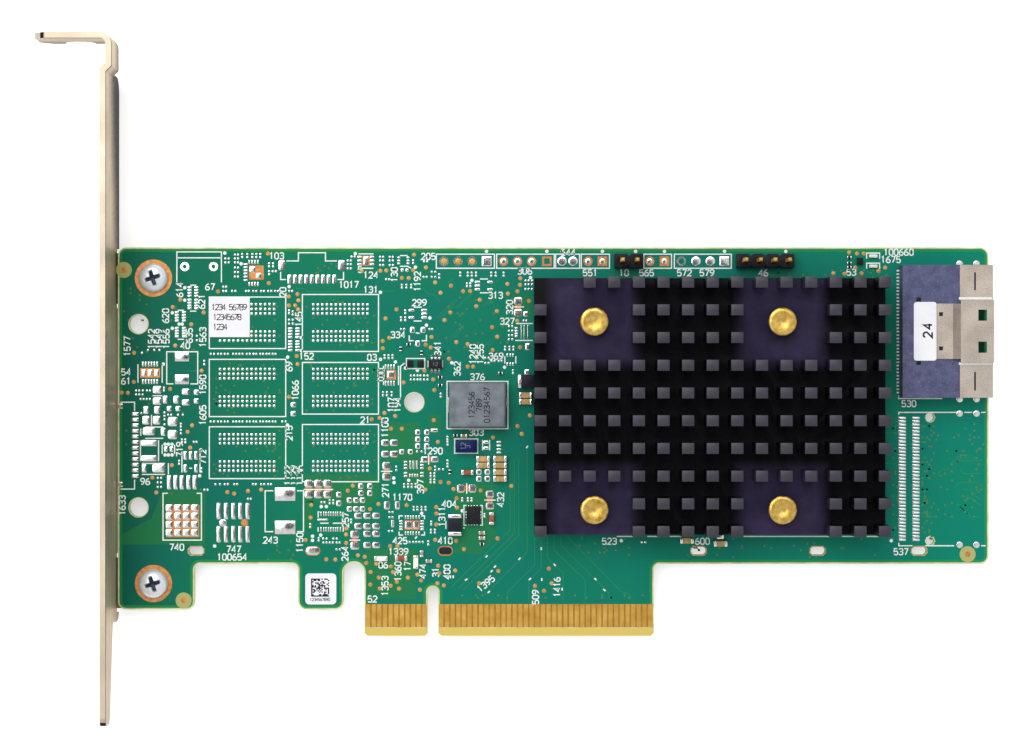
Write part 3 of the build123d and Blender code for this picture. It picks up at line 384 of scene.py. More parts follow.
def anodised():
    """Violet-black with tops painted paler as painted light, and painted shade low down except round the push
    pins.
    """
    material, tree, surface = new_finish("black_anodised_with_painted_shade")
    place = add(tree, "TexCoord").outputs["Object"]
    middle = add(tree, "VectorMath", {0: place, 1: PUSH_MIDDLE * MM}, operation="SUBTRACT")
    folded = add(tree, "VectorMath", {0: middle.outputs[0]}, operation="ABSOLUTE").outputs[0]
    offset = add(tree, "VectorMath", {0: folded, 1: PUSH_REACH * MM}, operation="SUBTRACT").outputs[0]
    across = add(tree, "VectorMath", {0: offset}, operation="ABSOLUTE").outputs[0]
    side_x, side_y, _ = add(tree, "SeparateXYZ", {0: across}).outputs
    away = add(tree, "Math", {0: side_x, 1: side_y}, operation="MAXIMUM")
    free_of_painted_shade = add(tree, "MapRange", {0: away.outputs[0], 1: OPEN_FROM * MM, 2: OPEN_FULL * MM})
    z = add(tree, "SeparateXYZ", {0: place}).outputs[2]
    height = add(tree, "MapRange", {0: z, 1: FIN_SHADE * MM, 2: FIN_TOP * MM})
    cloud = add(tree, "TexNoise", {"Vector": place, "Scale": per_mm(3.0), "Detail": 4.0})
    # Painted shade: the floor and the lower pins turn nearly black, except round the push pins.
    ground = add(tree, "Mix", {0: free_of_painted_shade.outputs[0], 6: linear("#050408"), 7: linear("#3a3150")},
                 data_type="RGBA")
    # Painted light: towards the tops the colour rises to a paler tone.
    tone = add(tree, "Mix", {0: height.outputs[0], 6: ground.outputs[2], 7: linear("#34313f")},
               data_type="RGBA")
    drift = add(tree, "MapRange", {0: cloud.outputs[0], 1: 0.3, 2: 0.8, 3: 0.0, 4: 0.5})
    bright = add(tree, "Mix", {0: drift.outputs[0], 6: tone.outputs[2], 7: linear("#141219")},
                 data_type="RGBA")
    # The specular level is lowered low down between the pins, also as painted shade.
    shine = add(tree, "MapRange", {0: z, 1: SINK_FLOOR * MM, 2: FIN_TOP * MM, 3: 0.06, 4: 0.5})
    tree.links.new(shine.outputs[0], surface.inputs["Specular IOR Level"])
    blast = add(tree, "TexNoise", {"Vector": place, "Scale": per_mm(BLAST_GRAIN), "Detail": 2.0})
    relief = add(tree, "Bump", {"Height": blast.outputs[0], "Strength": 0.3, "Distance": 0.03 * MM})
    tree.links.new(bright.outputs[2], surface.inputs["Base Color"])
    tree.links.new(relief.outputs[0], surface.inputs["Normal"])
    surface.inputs["Roughness"].default_value = 0.4
    return material


FINISHES["anodised"] = anodised()
print("open floor within", OPEN_FULL, "mm of a push pin")

# %% [markdown]
# ### Plated sheet steel
# The bracket and the port's shell are rolled sheet with a thin plating: a satin grey with a warm
# cast and soft cloudy marks. Painted shade darkens the bracket's plate with depth towards the tab,
# behind a ragged and speckled border, and a thin painted shadow line runs beside its upper edge.
# The shell gets the same painted shade low down.

# %% Bracket and shell finish
SPECK = 0.35
ROLLING_GRAIN = 0.18
SHADE_FROM = 50.0
SHADE_FULL = 95.0
SHADE_LEAST = -2.0
SHADE_MOST = 7.0
RAGGED = 8.0
SHADOW_LINE_HEIGHT = 13.75
SHADOW_LINE_HALF = 0.35


def rolled_steel(name, light, dark, rough, cloud_size, painted_shade_tone):
    """Plated sheet with cloudy marks, a browner speckled painted shade low down at its far end, and a painted
    shadow line.
    """
    material, tree, surface = new_finish(name)
    place = add(tree, "TexCoord").outputs["Object"]
    _, y, z = add(tree, "SeparateXYZ", {0: place}).outputs
    cloud = add(tree, "TexNoise", {"Vector": place, "Scale": per_mm(cloud_size), "Detail": 5.0})
    cloud = add(tree, "MapRange", {0: cloud.outputs[0], 1: 0.35, 2: 0.7})
    tone = add(tree, "Mix", {0: cloud.outputs[0], 6: linear(light), 7: linear(dark)}, data_type="RGBA")
    speck = add(tree, "TexNoise", {"Vector": place, "Scale": per_mm(SPECK), "Detail": 3.0})
    # Painted shade: below a ragged, speckled border that sinks towards the tab, the colour turns to the shade
    # tone.
    reach = add(tree, "MapRange", {0: y, 1: SHADE_FROM * MM, 2: SHADE_FULL * MM, 3: SHADE_LEAST * MM,
                                   4: SHADE_MOST * MM})
    ragged = add(tree, "Math", {0: speck.outputs[0], 1: RAGGED * MM, 2: reach.outputs[0]},
                 operation="MULTIPLY_ADD")
    depth = add(tree, "Math", {0: ragged.outputs[0], 1: z}, operation="SUBTRACT")
    low = add(tree, "MapRange", {0: depth.outputs[0], 1: 1.0 * MM, 2: 9.5 * MM})
    # A thin painted shadow line beside the upper edge.
    shadow_line = add(tree, "Math", {0: z, 1: SHADOW_LINE_HEIGHT * MM, 2: SHADOW_LINE_HALF * MM}, operation="COMPARE")
    low = add(tree, "Math", {0: low.outputs[0], 1: shadow_line.outputs[0]}, operation="MAXIMUM")
    whole = add(tree, "Mix", {0: low.outputs[0], 6: tone.outputs[2], 7: linear(painted_shade_tone)},
                data_type="RGBA")
    # The painted shade and shadow line also darken the specular tint.
    edge = add(tree, "Mix", {0: low.outputs[0], 6: linear("#d8cab4"), 7: linear("#0c0907")},
               data_type="RGBA")
    tree.links.new(edge.outputs[2], surface.inputs["Specular Tint"])
    grain = add(tree, "TexNoise", {"Vector": place, "Scale": per_mm(ROLLING_GRAIN), "Detail": 3.0})
    dull = add(tree, "MapRange", {0: grain.outputs[0], 1: 0.3, 2: 0.7, 3: rough * 0.85, 4: rough * 1.15})
    relief = add(tree, "Bump", {"Height": grain.outputs[0], "Strength": 0.15, "Distance": 0.02 * MM})
    tree.links.new(whole.outputs[2], surface.inputs["Base Color"])
    tree.links.new(dull.outputs[0], surface.inputs["Roughness"])
    tree.links.new(relief.outputs[0], surface.inputs["Normal"])
    surface.inputs["Metallic"].default_value = 0.6
    return material


# The last colour of each is the tone of its painted shade.
FINISHES["bracket"] = rolled_steel("nickel_plated_bracket", "#dccdb6", "#bfaf9a", 0.36, 9.0, "#1d1713")
FINISHES["shell"] = rolled_steel("plated_shell", "#cfc3b7", "#b4a89c", 0.3, 4.0, "#8f857c")
print("bracket and shell made")

# %% [markdown]
# ### Zinc-plated screws
# The heads are bright, almost white. The cross recess is painted blue-black, as painted shade.
# The finish finds the recess by its distance from a screw's middle and by its depth under the
# dome.

# %% Screw finish
SCREWS_MIDDLE = Vector((-49.55, 36.375, 0.0))
SCREWS_REACH = Vector((0.0, 27.075, 0.0))
CROSS_EDGE = 1.65
CROSS_RIM = 1.6
CROSS_FLOOR = 1.1


def recessed_screw():
    """Bright zinc with a blue-black painted shade in the cross recess."""
    material, tree, surface = new_finish("zinc_plated_screw")
    place = add(tree, "TexCoord").outputs["Object"]
    middle = add(tree, "VectorMath", {0: place, 1: SCREWS_MIDDLE * MM}, operation="SUBTRACT")
    folded = add(tree, "VectorMath", {0: middle.outputs[0]}, operation="ABSOLUTE").outputs[0]
    flat = add(tree, "VectorMath", {0: folded, 1: (1.0, 1.0, 0.0)}, operation="MULTIPLY").outputs[0]
    away = add(tree, "VectorMath", {0: flat, 1: SCREWS_REACH * MM}, operation="DISTANCE")
    inside = add(tree, "Math", {0: away.outputs["Value"], 1: CROSS_EDGE * MM}, operation="LESS_THAN")
    z = add(tree, "SeparateXYZ", {0: place}).outputs[2]
    sunk = add(tree, "MapRange", {0: z, 1: CROSS_RIM * MM, 2: CROSS_FLOOR * MM})
    painted_shade_in_recess = add(tree, "Math", {0: inside.outputs[0], 1: sunk.outputs[0]}, operation="MULTIPLY")
    cloud = add(tree, "TexNoise", {"Vector": place, "Scale": per_mm(0.5), "Detail": 3.0})
    zinc = add(tree, "Mix", {0: cloud.outputs[0], 6: linear("#cfdbe6"), 7: linear("#ffffff")},
               data_type="RGBA")
    # Painted shade: the recess turns blue-black.
    whole = add(tree, "Mix", {0: painted_shade_in_recess.outputs[0], 6: zinc.outputs[2], 7: linear("#1f2c3a")},
                data_type="RGBA")
    tree.links.new(whole.outputs[2], surface.inputs["Base Color"])
    surface.inputs["Metallic"].default_value = 0.5
    surface.inputs["Roughness"].default_value = 0.34
    return material


FINISHES["screw"] = recessed_screw()
print("recess within", CROSS_EDGE, "mm of a screw's middle")

# %% [markdown]
# ### Glass-filled nylon
# The port's housing is moulded from nylon with short glass fibres. The nylon is a dull blue-black
# that drifts a little, and the fibres show on its skin as pale flecks a third of a millimetre
# apart, which cell noise gives.

# %% Port housing finish
FIBRE_PITCH = 0.33


def glass_filled():
    """Dull blue-black nylon with pale flecks."""
    material, tree, surface = new_finish("glass_filled_nylon")
    place = add(tree, "TexCoord").outputs["Object"]
    cloud = add(tree, "TexNoise", {"Vector": place, "Scale": per_mm(1.2), "Detail": 4.0})
    tone = add(tree, "Mix", {0: cloud.outputs[0], 6: linear("#353657"), 7: linear("#6b6e92")},
               data_type="RGBA")
    fibres = add(tree, "TexVoronoi", {"Vector": place, "Scale": per_mm(FIBRE_PITCH)})
    fleck = add(tree, "MapRange", {0: fibres.outputs[0], 1: 0.16, 2: 0.04})
    whole = add(tree, "Mix", {0: fleck.outputs[0], 6: tone.outputs[2], 7: linear("#c6c6da")},
                data_type="RGBA")
    relief = add(tree, "Bump", {"Height": cloud.outputs[0], "Strength": 0.2, "Distance": 0.05 * MM})
    tree.links.new(whole.outputs[2], surface.inputs["Base Color"])
    tree.links.new(relief.outputs[0], surface.inputs["Normal"])
    surface.inputs["Roughness"].default_value = 0.45
    surface.inputs["Specular IOR Level"].default_value = 0.2
    return material


FINISHES["housing"] = glass_filled()
print("fibres", FIBRE_PITCH, "mm apart")

# %% [markdown]
# ### More tones of lacquer
# Where the lacquer lies over bare laminate, or carries painted light by the edge and painted shade
# inside the port, it is still the same lacquer. The function that made it makes these tones too,
# with a share of another colour.

# %% The comb of the port and more tones of lacquer
# Tinned bronze of the port's solder tails: bright, a little matt; it also makes the painted highlights on the
# shell's folds
FINISHES["comb"] = drifting("tinned_comb", "#f0f0ee", "#ffffff", 0.5, 0.1, 0.4, 0.2)
# Bare laminate round an alignment disc: pale, with some of the lacquer's green
FINISHES["disc"] = lacquer("bare_disc", "#c4bb74", 0.8)
# Painted light along the routed edge: a clearer green band on the lacquer
FINISHES["mask_painted_edge_light"] = lacquer("lacquer_with_painted_edge_light", "#2c9a3c", 0.5)
# Painted shade: lacquer darkened deep inside the port, where hardly any light comes
FINISHES["mask_painted_shade"] = lacquer("lacquer_with_painted_shade", "#042a12", 0.85)
print(len(FINISHES), "finishes in all")

# %% [markdown]
# ## Shapes from outlines
# Pads, print and traces are all thin solids on an outline. A bmesh collects many of them, so
# that hundreds of pads are one piece. Each is closed, with a floor and sides, and the pads
# have a crown, because molten solder pulls itself into a low dome.

# %% Outlines
def round_outline(x, y, radius, sides=16, start=0.0):
    """Points round a circle."""
    step = 2 * math.pi / sides
    return [(x + radius * math.cos(start + i * step), y + radius * math.sin(start + i * step))
            for i in range(sides)]


def box_outline(x, y, length, width, corner=0.0, steps=2):
    """Points round a rectangle whose corners are arcs."""
    if not corner:
        return [(x + sx * length / 2, y + sy * width / 2) for sx, sy in ((1, 1), (-1, 1), (-1, -1), (1, -1))]
    points = []
    for quarter, (sx, sy) in enumerate(((1, 1), (-1, 1), (-1, -1), (1, -1))):
        cx = x + sx * (length / 2 - corner)
        cy = y + sy * (width / 2 - corner)
        for i in range(steps + 1):
            angle = (quarter + i / steps) * math.pi / 2
            points.append((cx + corner * math.cos(angle), cy + corner * math.sin(angle)))
    return points


print("a circle has", len(round_outline(0.0, 0.0, 1.0)), "points")

# %% [markdown]
# ### Solids from rings of points
# A closed solid is a stack of rings of points with faces between them. Its ends are closed, or
# the last ring meets the first, as in a washer. An extruded curve would do too, but here hundreds
# of solids go into one mesh.

# %% Skins, bands, prisms and rings
def skin(bm, rings, looped=False):
    """Joins rings of points with side faces. The ends are closed, or the last meets the first."""
    rows = [[bm.verts.new(p) for p in ring] for ring in rings]
    count = len(rows[0])
    for low, high in zip(rows, rows[1:] + rows[:1] if looped else rows[1:]):
        for i in range(count):
            j = (i + 1) % count
            bm.faces.new((low[i], low[j], high[j], high[i]))
    if not looped:
        bm.faces.new(rows[0][::-1])
        bm.faces.new(rows[-1])


def band(bm, outer, inner, low, high):
    """A flat closed band between two outlines with as many points."""
    profile = ((outer, low), (outer, high), (inner, high), (inner, low))
    skin(bm, [[(x, y, z) for x, y in outline] for outline, z in profile], looped=True)


def prism(bm, outline, low, high, crown=0.0):
    """A closed solid on an outline. A crown pulls the top in by that many millimetres."""
    rings = [[(x, y, low) for x, y in outline]]
    if crown:
        cx = sum(x for x, y in outline) / len(outline)
        cy = sum(y for x, y in outline) / len(outline)
        reach = min(max(abs(x - cx) for x, y in outline), max(abs(y - cy) for x, y in outline))
        crown = min(crown, reach * 0.6)
        for share, lift in ((0.0, 0.35), (0.4, 0.8), (1.0, 1.0)):
            scale = 1 - share * crown / reach
            rings.append([(cx + (x - cx) * scale, cy + (y - cy) * scale, low + (high - low) * lift)
                          for x, y in outline])
    else:
        rings.append([(x, y, high) for x, y in outline])
    skin(bm, rings)


def ring(bm, x, y, outer, inner, low, high, sides=24):
    """A flat closed ring."""
    band(bm, round_outline(x, y, outer, sides), round_outline(x, y, inner, sides), low, high)


print("skins, bands, prisms and rings can be drawn")

# %% [markdown]
# ### Strokes
# A printed line or a trace is a ribbon along a row of points. Its corners are mitred, so its
# width stays the same round a bend.

# %% Strokes along a line of points
def stroke(bm, points, width, low, high):
    """A closed ribbon along a line of points, mitred at its bends."""
    closed = points[0] == points[-1]
    pts = [Vector(p) for p in (points[:-1] if closed else points)]
    count = len(pts)
    sides = []
    for i, p in enumerate(pts):
        before = (p - pts[i - 1]).normalized() if closed or i else None
        after = (pts[(i + 1) % count] - p).normalized() if closed or i < count - 1 else None
        along = before or after
        mean = (before + after).normalized() if before and after else along
        normal = Vector((-mean.y, mean.x))
        base = Vector((-along.y, along.x))
        reach = width / 2 / max(0.4, abs(normal.dot(base)))
        sides.append((p + normal * reach, p - normal * reach))
    rows = [[bm.verts.new((a.x, a.y, low)), bm.verts.new((a.x, a.y, high)), bm.verts.new((b.x, b.y, high)),
             bm.verts.new((b.x, b.y, low))] for a, b in sides]
    for i in range(count if closed else count - 1):
        one, two = rows[i], rows[(i + 1) % count]
        for j in range(4):
            k = (j + 1) % 4
            bm.faces.new((one[j], one[k], two[k], two[j]))
    if not closed:
        bm.faces.new(rows[0])
        bm.faces.new(rows[-1][::-1])


print("strokes can be drawn")

# %% [markdown]
# ### From a bmesh to a piece
# Everything is drawn in millimetres and turned into metres once, here. Small faces are shaded
# smooth up to an angle. Large ones stay flat, because smooth shading drags streaks over them.

# %% A piece of the card from a bmesh
FLAT_OVER = 0.6


def piece(name, bm, finish, replaced=(), smooth=None):
    """Turns a bmesh in millimetres into a piece of the card. Large faces stay flat."""
    bmesh.ops.recalc_face_normals(bm, faces=bm.faces[:])
    mesh = bpy.data.meshes.new(name)
    bm.to_mesh(mesh)
    bm.free()
    mesh.materials.append(FINISHES[finish])
    if smooth:
        mesh.polygons.foreach_set("use_smooth", [face.area < FLAT_OVER for face in mesh.polygons])
        mesh.set_sharp_from_angle(angle=math.radians(smooth))
    mesh.transform(Matrix.Scale(MM, 4))
    made = bpy.data.objects.new(name, mesh)
    bpy.context.scene.collection.objects.link(made)
    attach(made, "root")
    if replaced:
        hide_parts(*replaced)
    print(name, len(mesh.polygons), "faces")
    return made


print("faces over", FLAT_OVER, "square mm stay flat")

# %% [markdown]
# ## Solids that keep their shape
# Most solids already have their real form, so they only get a finish. The glossy edges of real
# parts are never knife sharp, so the larger ones are copied with a small round along each edge,
# and the copy stands for the solid.

# %% A finish for each solid
NODE_FINISHES = {
    "circuit_board": "mask", "mounting_bracket": "bracket", "edge_contacts": "gold",
    "array_chips": "black", "board_label": "paper", "hook_label": "paper", "port_label": "paper",
    "brown_capacitor_bodies": "brown", "brown_capacitor_ends": "solder", "choke_bodies": "choke_black",
    "choke_ends": "solder", "coil_lands": "solder", "controller_carrier": "carrier",
    "controller_die": "silicon", "fuse_bodies": "white", "fuse_ends": "solder",
    "header_bodies": "black", "header_pins": "gold", "heat_sink": "anodised",
    "port_contacts": "comb", "port_housing": "housing", "port_shell": "shell",
    "power_inductor_core": "ferrite", "power_inductor_terminals": "solder", "power_module": "module",
    "push_pins": "brass", "push_pin_springs": "spring", "bracket_screws": "screw",
    "regulator_chip": "black", "six_leg_chip_body": "black", "six_leg_chip_legs": "solder",
    "small_capacitor_bodies": "small_cap", "small_capacitor_ends": "solder",
    "small_resistor_bodies": "black", "small_resistor_ends": "solder", "status_lamps": "lens",
    "tan_capacitor_bodies": "tan", "tan_capacitor_ends": "solder", "thermal_pad": "pad_rubber",
}
for node, finish in NODE_FINISHES.items():
    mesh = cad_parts[node].data
    mesh.materials.clear()
    mesh.materials.append(FINISHES[finish])
print(len(NODE_FINISHES), "solids finished")

# %% [markdown]
# ### Rounded edges
# A moulded or pressed edge has a round of about a tenth of a millimetre, which catches a thin
# line of light. A bevel modifier would do it for every edge alike; here only edges sharper than
# an angle are rounded, after flat faces have been made whole.

# %% Copies with rounded edges
MERGE = 0.0005
FLAT_WITHIN = math.radians(1.0)
SHARP_OVER = math.radians(35.0)


def solid_of(node):
    """The node's mesh in millimetres, with its doubled corners joined and flat faces whole."""
    bm = bmesh.new()
    bm.from_mesh(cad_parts[node].data)
    bmesh.ops.scale(bm, vec=(1 / MM, 1 / MM, 1 / MM), verts=bm.verts)
    bmesh.ops.remove_doubles(bm, verts=bm.verts, dist=MERGE)
    bmesh.ops.dissolve_limit(bm, angle_limit=FLAT_WITHIN, verts=bm.verts, edges=bm.edges)
    bm.normal_update()
    return bm


def rounded(node, width, segments=2):
    """Stands in for a node with a small round along each of its sharp edges."""
    bm = solid_of(node)
    sharp = [e for e in bm.edges if len(e.link_faces) == 2 and e.calc_face_angle(0.0) > SHARP_OVER]
    bmesh.ops.bevel(bm, geom=sharp, offset=width, segments=segments, profile=0.5, affect="EDGES",
                    clamp_overlap=True)
    return piece(node + "_rounded", bm, NODE_FINISHES[node], (node,), smooth=40)


ROUNDED = (
    ("heat_sink", "black_anodised", 0.12), ("power_inductor_core", "ferrite_grey", 0.12),
    ("choke_bodies", "black_moulding", 0.1), ("choke_ends", "tinned_metal", 0.1),
    ("power_module", "module_blue", 0.06), ("regulator_chip", "black_moulding", 0.05),
    ("array_chips", "black_moulding", 0.05), ("six_leg_chip_body", "black_moulding", 0.05),
    ("tan_capacitor_bodies", "tan_ceramic", 0.05), ("tan_capacitor_ends", "tinned_metal", 0.08),
    ("brown_capacitor_bodies", "brown_ceramic", 0.05), ("brown_capacitor_ends", "tinned_metal", 0.08),
    ("fuse_ends", "tinned_metal", 0.08), ("small_capacitor_ends", "tinned_metal", 0.06),
    ("small_resistor_ends", "tinned_metal", 0.06), ("coil_lands", "tinned_metal", 0.05),
    ("power_inductor_terminals", "tinned_metal", 0.1), ("header_bodies", "black_moulding", 0.08),
    ("status_lamps", "lamp_lens", 0.1),
)
for node, slot, width in ROUNDED:
    rounded(node, width)

# %% [markdown]
# ## Push pins, springs and screws
# A push pin is turned from brass: a flat head with a chamfer, a shank, and a split barbed tip. It
# is a revolved profile. Its spring is wire wound into a helix. The screws have a low dome with
# a cross recess, which is pressed in, so the head is a grid of points lowered by a formula.

# %% Turned brass push pins
PIN_SIDES = 48


def turned(bm, x, y, profile, sides=PIN_SIDES):
    """A solid of revolution from points of radius and height."""
    skin(bm, [[(px, py, z) for px, py in round_outline(x, y, radius, sides)] for radius, z in profile])


pin_low, pin_high = (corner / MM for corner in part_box("push_pins"))
PIN_RADIUS = 2.5
pin_xs = (pin_low.x + PIN_RADIUS, pin_high.x - PIN_RADIUS)
pin_ys = (pin_low.y + PIN_RADIUS, pin_high.y - PIN_RADIUS)
PIN_PROFILE = (
    (0.01, -3.79), (0.3, -3.78), (0.78, -3.1), (1.52, -1.75), (1.5, -1.62), (1.0, -1.6), (1.0, 7.2),
    (2.2, 7.22), (2.47, 7.32), (2.5, 7.45), (2.5, 7.85), (2.42, 8.05), (2.2, 8.18), (1.9, 8.2),
    (0.9, 8.2), (0.75, 8.14), (0.01, 8.13),
)
bm = bmesh.new()
for x in pin_xs:
    for y in pin_ys:
        turned(bm, x, y, PIN_PROFILE)
piece("brass_push_pins", bm, "brass", ("push_pins",), smooth=30)

# %% [markdown]
# ### Springs
# A spring is a small ring of points carried up a helix. As many turns are wound as show between
# the heat sink and the head of the pin.

# %% Wound springs under the pin heads
SPRING_RADIUS = 1.82
WIRE_RADIUS = 0.24
SPRING_TURNS = 2.6
SPRING_STEPS = 30
WIRE_SIDES = 8
spring_low, spring_high = (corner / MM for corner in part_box("push_pin_springs"))


def wound(bm, x, y, low, high):
    """A wire wound round an upright axis, closed at both ends."""
    rows = []
    count = int(SPRING_TURNS * SPRING_STEPS)
    for i in range(count + 1):
        angle = 2 * math.pi * i / SPRING_STEPS + 2.2
        z = low + WIRE_RADIUS + (high - low - 2 * WIRE_RADIUS) * i / count
        out = Vector((math.cos(angle), math.sin(angle), 0))
        centre = Vector((x, y, z)) + out * SPRING_RADIUS
        rows.append([centre + out * WIRE_RADIUS * math.cos(a) + Vector((0, 0, WIRE_RADIUS * math.sin(a)))
                     for a in (2 * math.pi * k / WIRE_SIDES for k in range(WIRE_SIDES))])
    skin(bm, rows)


bm = bmesh.new()
for x in pin_xs:
    for y in pin_ys:
        wound(bm, x, y, spring_low.z, spring_high.z)
piece("wound_springs", bm, "spring", ("push_pin_springs",), smooth=60)

# %% [markdown]
# ### Screws
# Cutting the cross with a boolean leaves long thin faces on the dome. A formula that lowers the
# points of a round grid gives the same recess with soft walls.

# %% Domed screws with a cross recess
screw_low, screw_high = (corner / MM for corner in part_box("bracket_screws"))
HEAD_RADIUS = 2.55
HEAD_HEIGHT = screw_high.z
screw_x = (screw_low.x + screw_high.x) / 2
screw_ys = (screw_low.y + HEAD_RADIUS, screw_high.y - HEAD_RADIUS)
RECESS_REACH = 1.55
RECESS_HALF = 0.36
RECESS_DEPTH = 1.1
HEAD_RINGS = 22
HEAD_SIDES = 72
SCREW_TURN = 0.32


def head_height(dx, dy):
    """Height of the domed head, lowered where the cross recess is."""
    r = math.hypot(dx, dy)
    dome = HEAD_HEIGHT - 0.85 * (r / HEAD_RADIUS) ** 2.6 - 0.35 * (r / HEAD_RADIUS) ** 12
    u = dx * math.cos(SCREW_TURN) + dy * math.sin(SCREW_TURN)
    v = -dx * math.sin(SCREW_TURN) + dy * math.cos(SCREW_TURN)
    arm = min(abs(u), abs(v)) - RECESS_HALF - 0.25 * max(0.0, 0.7 - r)
    wall = min(1.0, max(0.0, -arm / 0.12))
    end = min(1.0, max(0.0, (RECESS_REACH - r) / 0.5))
    return dome - RECESS_DEPTH * wall * end * (1 - 0.35 * r / RECESS_REACH)


bm = bmesh.new()
for y in screw_ys:
    rows = [[(px, py, 0.0) for px, py in round_outline(screw_x, y, HEAD_RADIUS, HEAD_SIDES)]]
    for k in range(HEAD_RINGS):
        radius = HEAD_RADIUS * (1 - k / HEAD_RINGS) + 0.01
        rows.append([(px, py, head_height(px - screw_x, py - y))
                     for px, py in round_outline(screw_x, y, radius, HEAD_SIDES)])
    shank = [(1.45, 0.0), (1.45, -1.6), (1.2, -3.2), (0.9, screw_low.z)]
    skin(bm, [[(px, py, z) for px, py in round_outline(screw_x, y, radius, HEAD_SIDES)]
              for radius, z in reversed(shank)] + rows)
piece("cross_recess_screws", bm, "screw", ("bracket_screws",), smooth=28)

# %% [markdown]
# ## The board's rim and bare rings
# The lacquer stops a little short of every routed edge, so a thin line of bare laminate runs
# round the board and its holes. The edge is read from the solid: where the top face meets a
# wall there is a loop of edges, and a ribbon is laid on its inner side.

# %% Bare laminate along every edge of the top and the back
RIM_WIDTH = 0.26
HOLE_RIM = 0.16
EDGE_GLOW = 0.75
RIM_HIGH = 0.008
BOARD_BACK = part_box("circuit_board")[0].z / MM


def edge_loops(height, facing):
    """Closed loops of points round the flat faces at a height, material on the left."""
    bm = solid_of("circuit_board")
    follow = {}
    for face in bm.faces:
        if face.normal.z * facing > 0.99 and abs(face.calc_center_median().z - height) < 0.01:
            for loop in face.loops:
                others = [f for f in loop.edge.link_faces if f != face]
                if others and others[0].normal.z * facing < 0.99:
                    follow[loop.vert] = loop.link_loop_next.vert
    loops = []
    while follow:
        start, at = follow.popitem()
        chain = [start]
        while at != start and at in follow:
            chain.append(at)
            at = follow.pop(at)
        if at == start and len(chain) > 2:
            loops.append([Vector((v.co.x, v.co.y)) for v in chain])
    bm.free()
    return loops


def rim(bm, loop, width, low, high, side):
    """A flat closed band on one side of a loop of points."""
    inner = []
    count = len(loop)
    for i, p in enumerate(loop):
        before = (p - loop[i - 1]).normalized()
        after = (loop[(i + 1) % count] - p).normalized()
        mean = (before + after).normalized()
        normal = Vector((-mean.y, mean.x)) * side
        reach = width / max(0.5, abs(normal.dot(Vector((-after.y, after.x)))))
        inner.append(p + normal * reach)
    band(bm, loop, inner, low, high)


bm = bmesh.new()
glow = bmesh.new()
for height, facing in ((0.0, 1), (BOARD_BACK, -1)):
    for loop in edge_loops(height, facing):
        outer = max(p.x for p in loop) - min(p.x for p in loop) > 20
        rim(bm, loop, RIM_WIDTH if outer else HOLE_RIM, height, height + facing * RIM_HIGH, facing)
        # Along the outer edge a wider band of clearer green is painted light.
        if outer:
            rim(glow, loop, EDGE_GLOW, height, height + facing * RIM_HIGH / 2, facing)
piece("bare_rim", bm, "laminate")
piece("painted_light_by_the_edge", glow, "mask_painted_edge_light")

# %% [markdown]
# ## Copper that shows
# Rings surround the header holes, some left bare and some tinned, and the screws sit on large
# copper rings that ground the bracket. Each is a thin closed band, since a torus would be round.

# %% Rings round the holes and screws
HEADER_Y = 66.45
RING_OUTER = 0.83
RING_INNER = 0.5
PLATE_HIGH = 0.03
GROUND_RING = (3.3, 2.3)

copper = bmesh.new()
tin = bmesh.new()
gold = bmesh.new()
for y in screw_ys:
    ring(copper, screw_x, y, *GROUND_RING, 0.0, PLATE_HIGH, 64)
for x in (12.5, 15.0, 17.5):
    ring(copper, x, HEADER_Y, RING_OUTER, 0.55, 0.0, PLATE_HIGH)
    prism(tin, round_outline(x, HEADER_Y, 0.54, 20), 0.0, 0.06, 0.3)
for x in (1.95, 4.45, 6.95):
    ring(tin, x, HEADER_Y, 0.86, 0.5, 0.0, 0.05)
    prism(gold, round_outline(x, HEADER_Y, 0.5, 20), 0.0, 0.04, 0.3)
prism(tin, box_outline(9.55, HEADER_Y, 1.72, 1.72, 0.1), 0.0, 0.07, 0.3)
for x in (22.9, 24.85, 46.65, 49.2):
    prism(tin, round_outline(x, HEADER_Y, RING_OUTER, 20), 0.0, 0.07, 0.3)
band(copper, box_outline(20.2, HEADER_Y, 1.7, 1.7), box_outline(20.2, HEADER_Y, 1.0, 1.0), 0.0, PLATE_HIGH)
for round_x, square_x in ((27.5, 30.05), (38.45, 41.05)):
    ring(copper, round_x, HEADER_Y, RING_OUTER, RING_INNER, 0.0, PLATE_HIGH)
    band(copper, box_outline(square_x, HEADER_Y, 1.7, 1.7), box_outline(square_x, HEADER_Y, 0.9, 0.9), 0.0,
         PLATE_HIGH)
    for x in (round_x, square_x):
        prism(tin, round_outline(x, HEADER_Y, 0.5, 20), 0.0, 0.06, 0.3)
ring(tin, 44.05, HEADER_Y, RING_OUTER, RING_INNER, 0.0, 0.05)
prism(tin, box_outline(51.7, HEADER_Y, 1.7, 1.7, 0.1), 0.0, 0.07, 0.3)
FITTED_PINS = (33.4, 35.94, 54.95, 57.49, 60.03, 62.57)
for x in FITTED_PINS:
    ring(tin, x, HEADER_Y, RING_OUTER, 0.35, BOARD_BACK - 0.03, BOARD_BACK)
print(len(FITTED_PINS), "header pins are fitted")

# %% [markdown]
# ### Slots and alignment discs
# Plated slots take the legs of parts that are not fitted. One is full of tin and the others stand
# open. An alignment disc guides the camera of the placing machine: a bare copper dot in a round
# field without lacquer.

# %% Slots with plated rims, and the copper of the alignment discs
def slot_rim(bm, x, y, length, width, edge, high):
    """A flat band round a plated slot."""
    outer = box_outline(x, y, length + 2 * edge, width + 2 * edge, width / 2 + edge, 8)
    band(bm, outer, box_outline(x, y, length, width, width / 2, 8), 0.0, high)


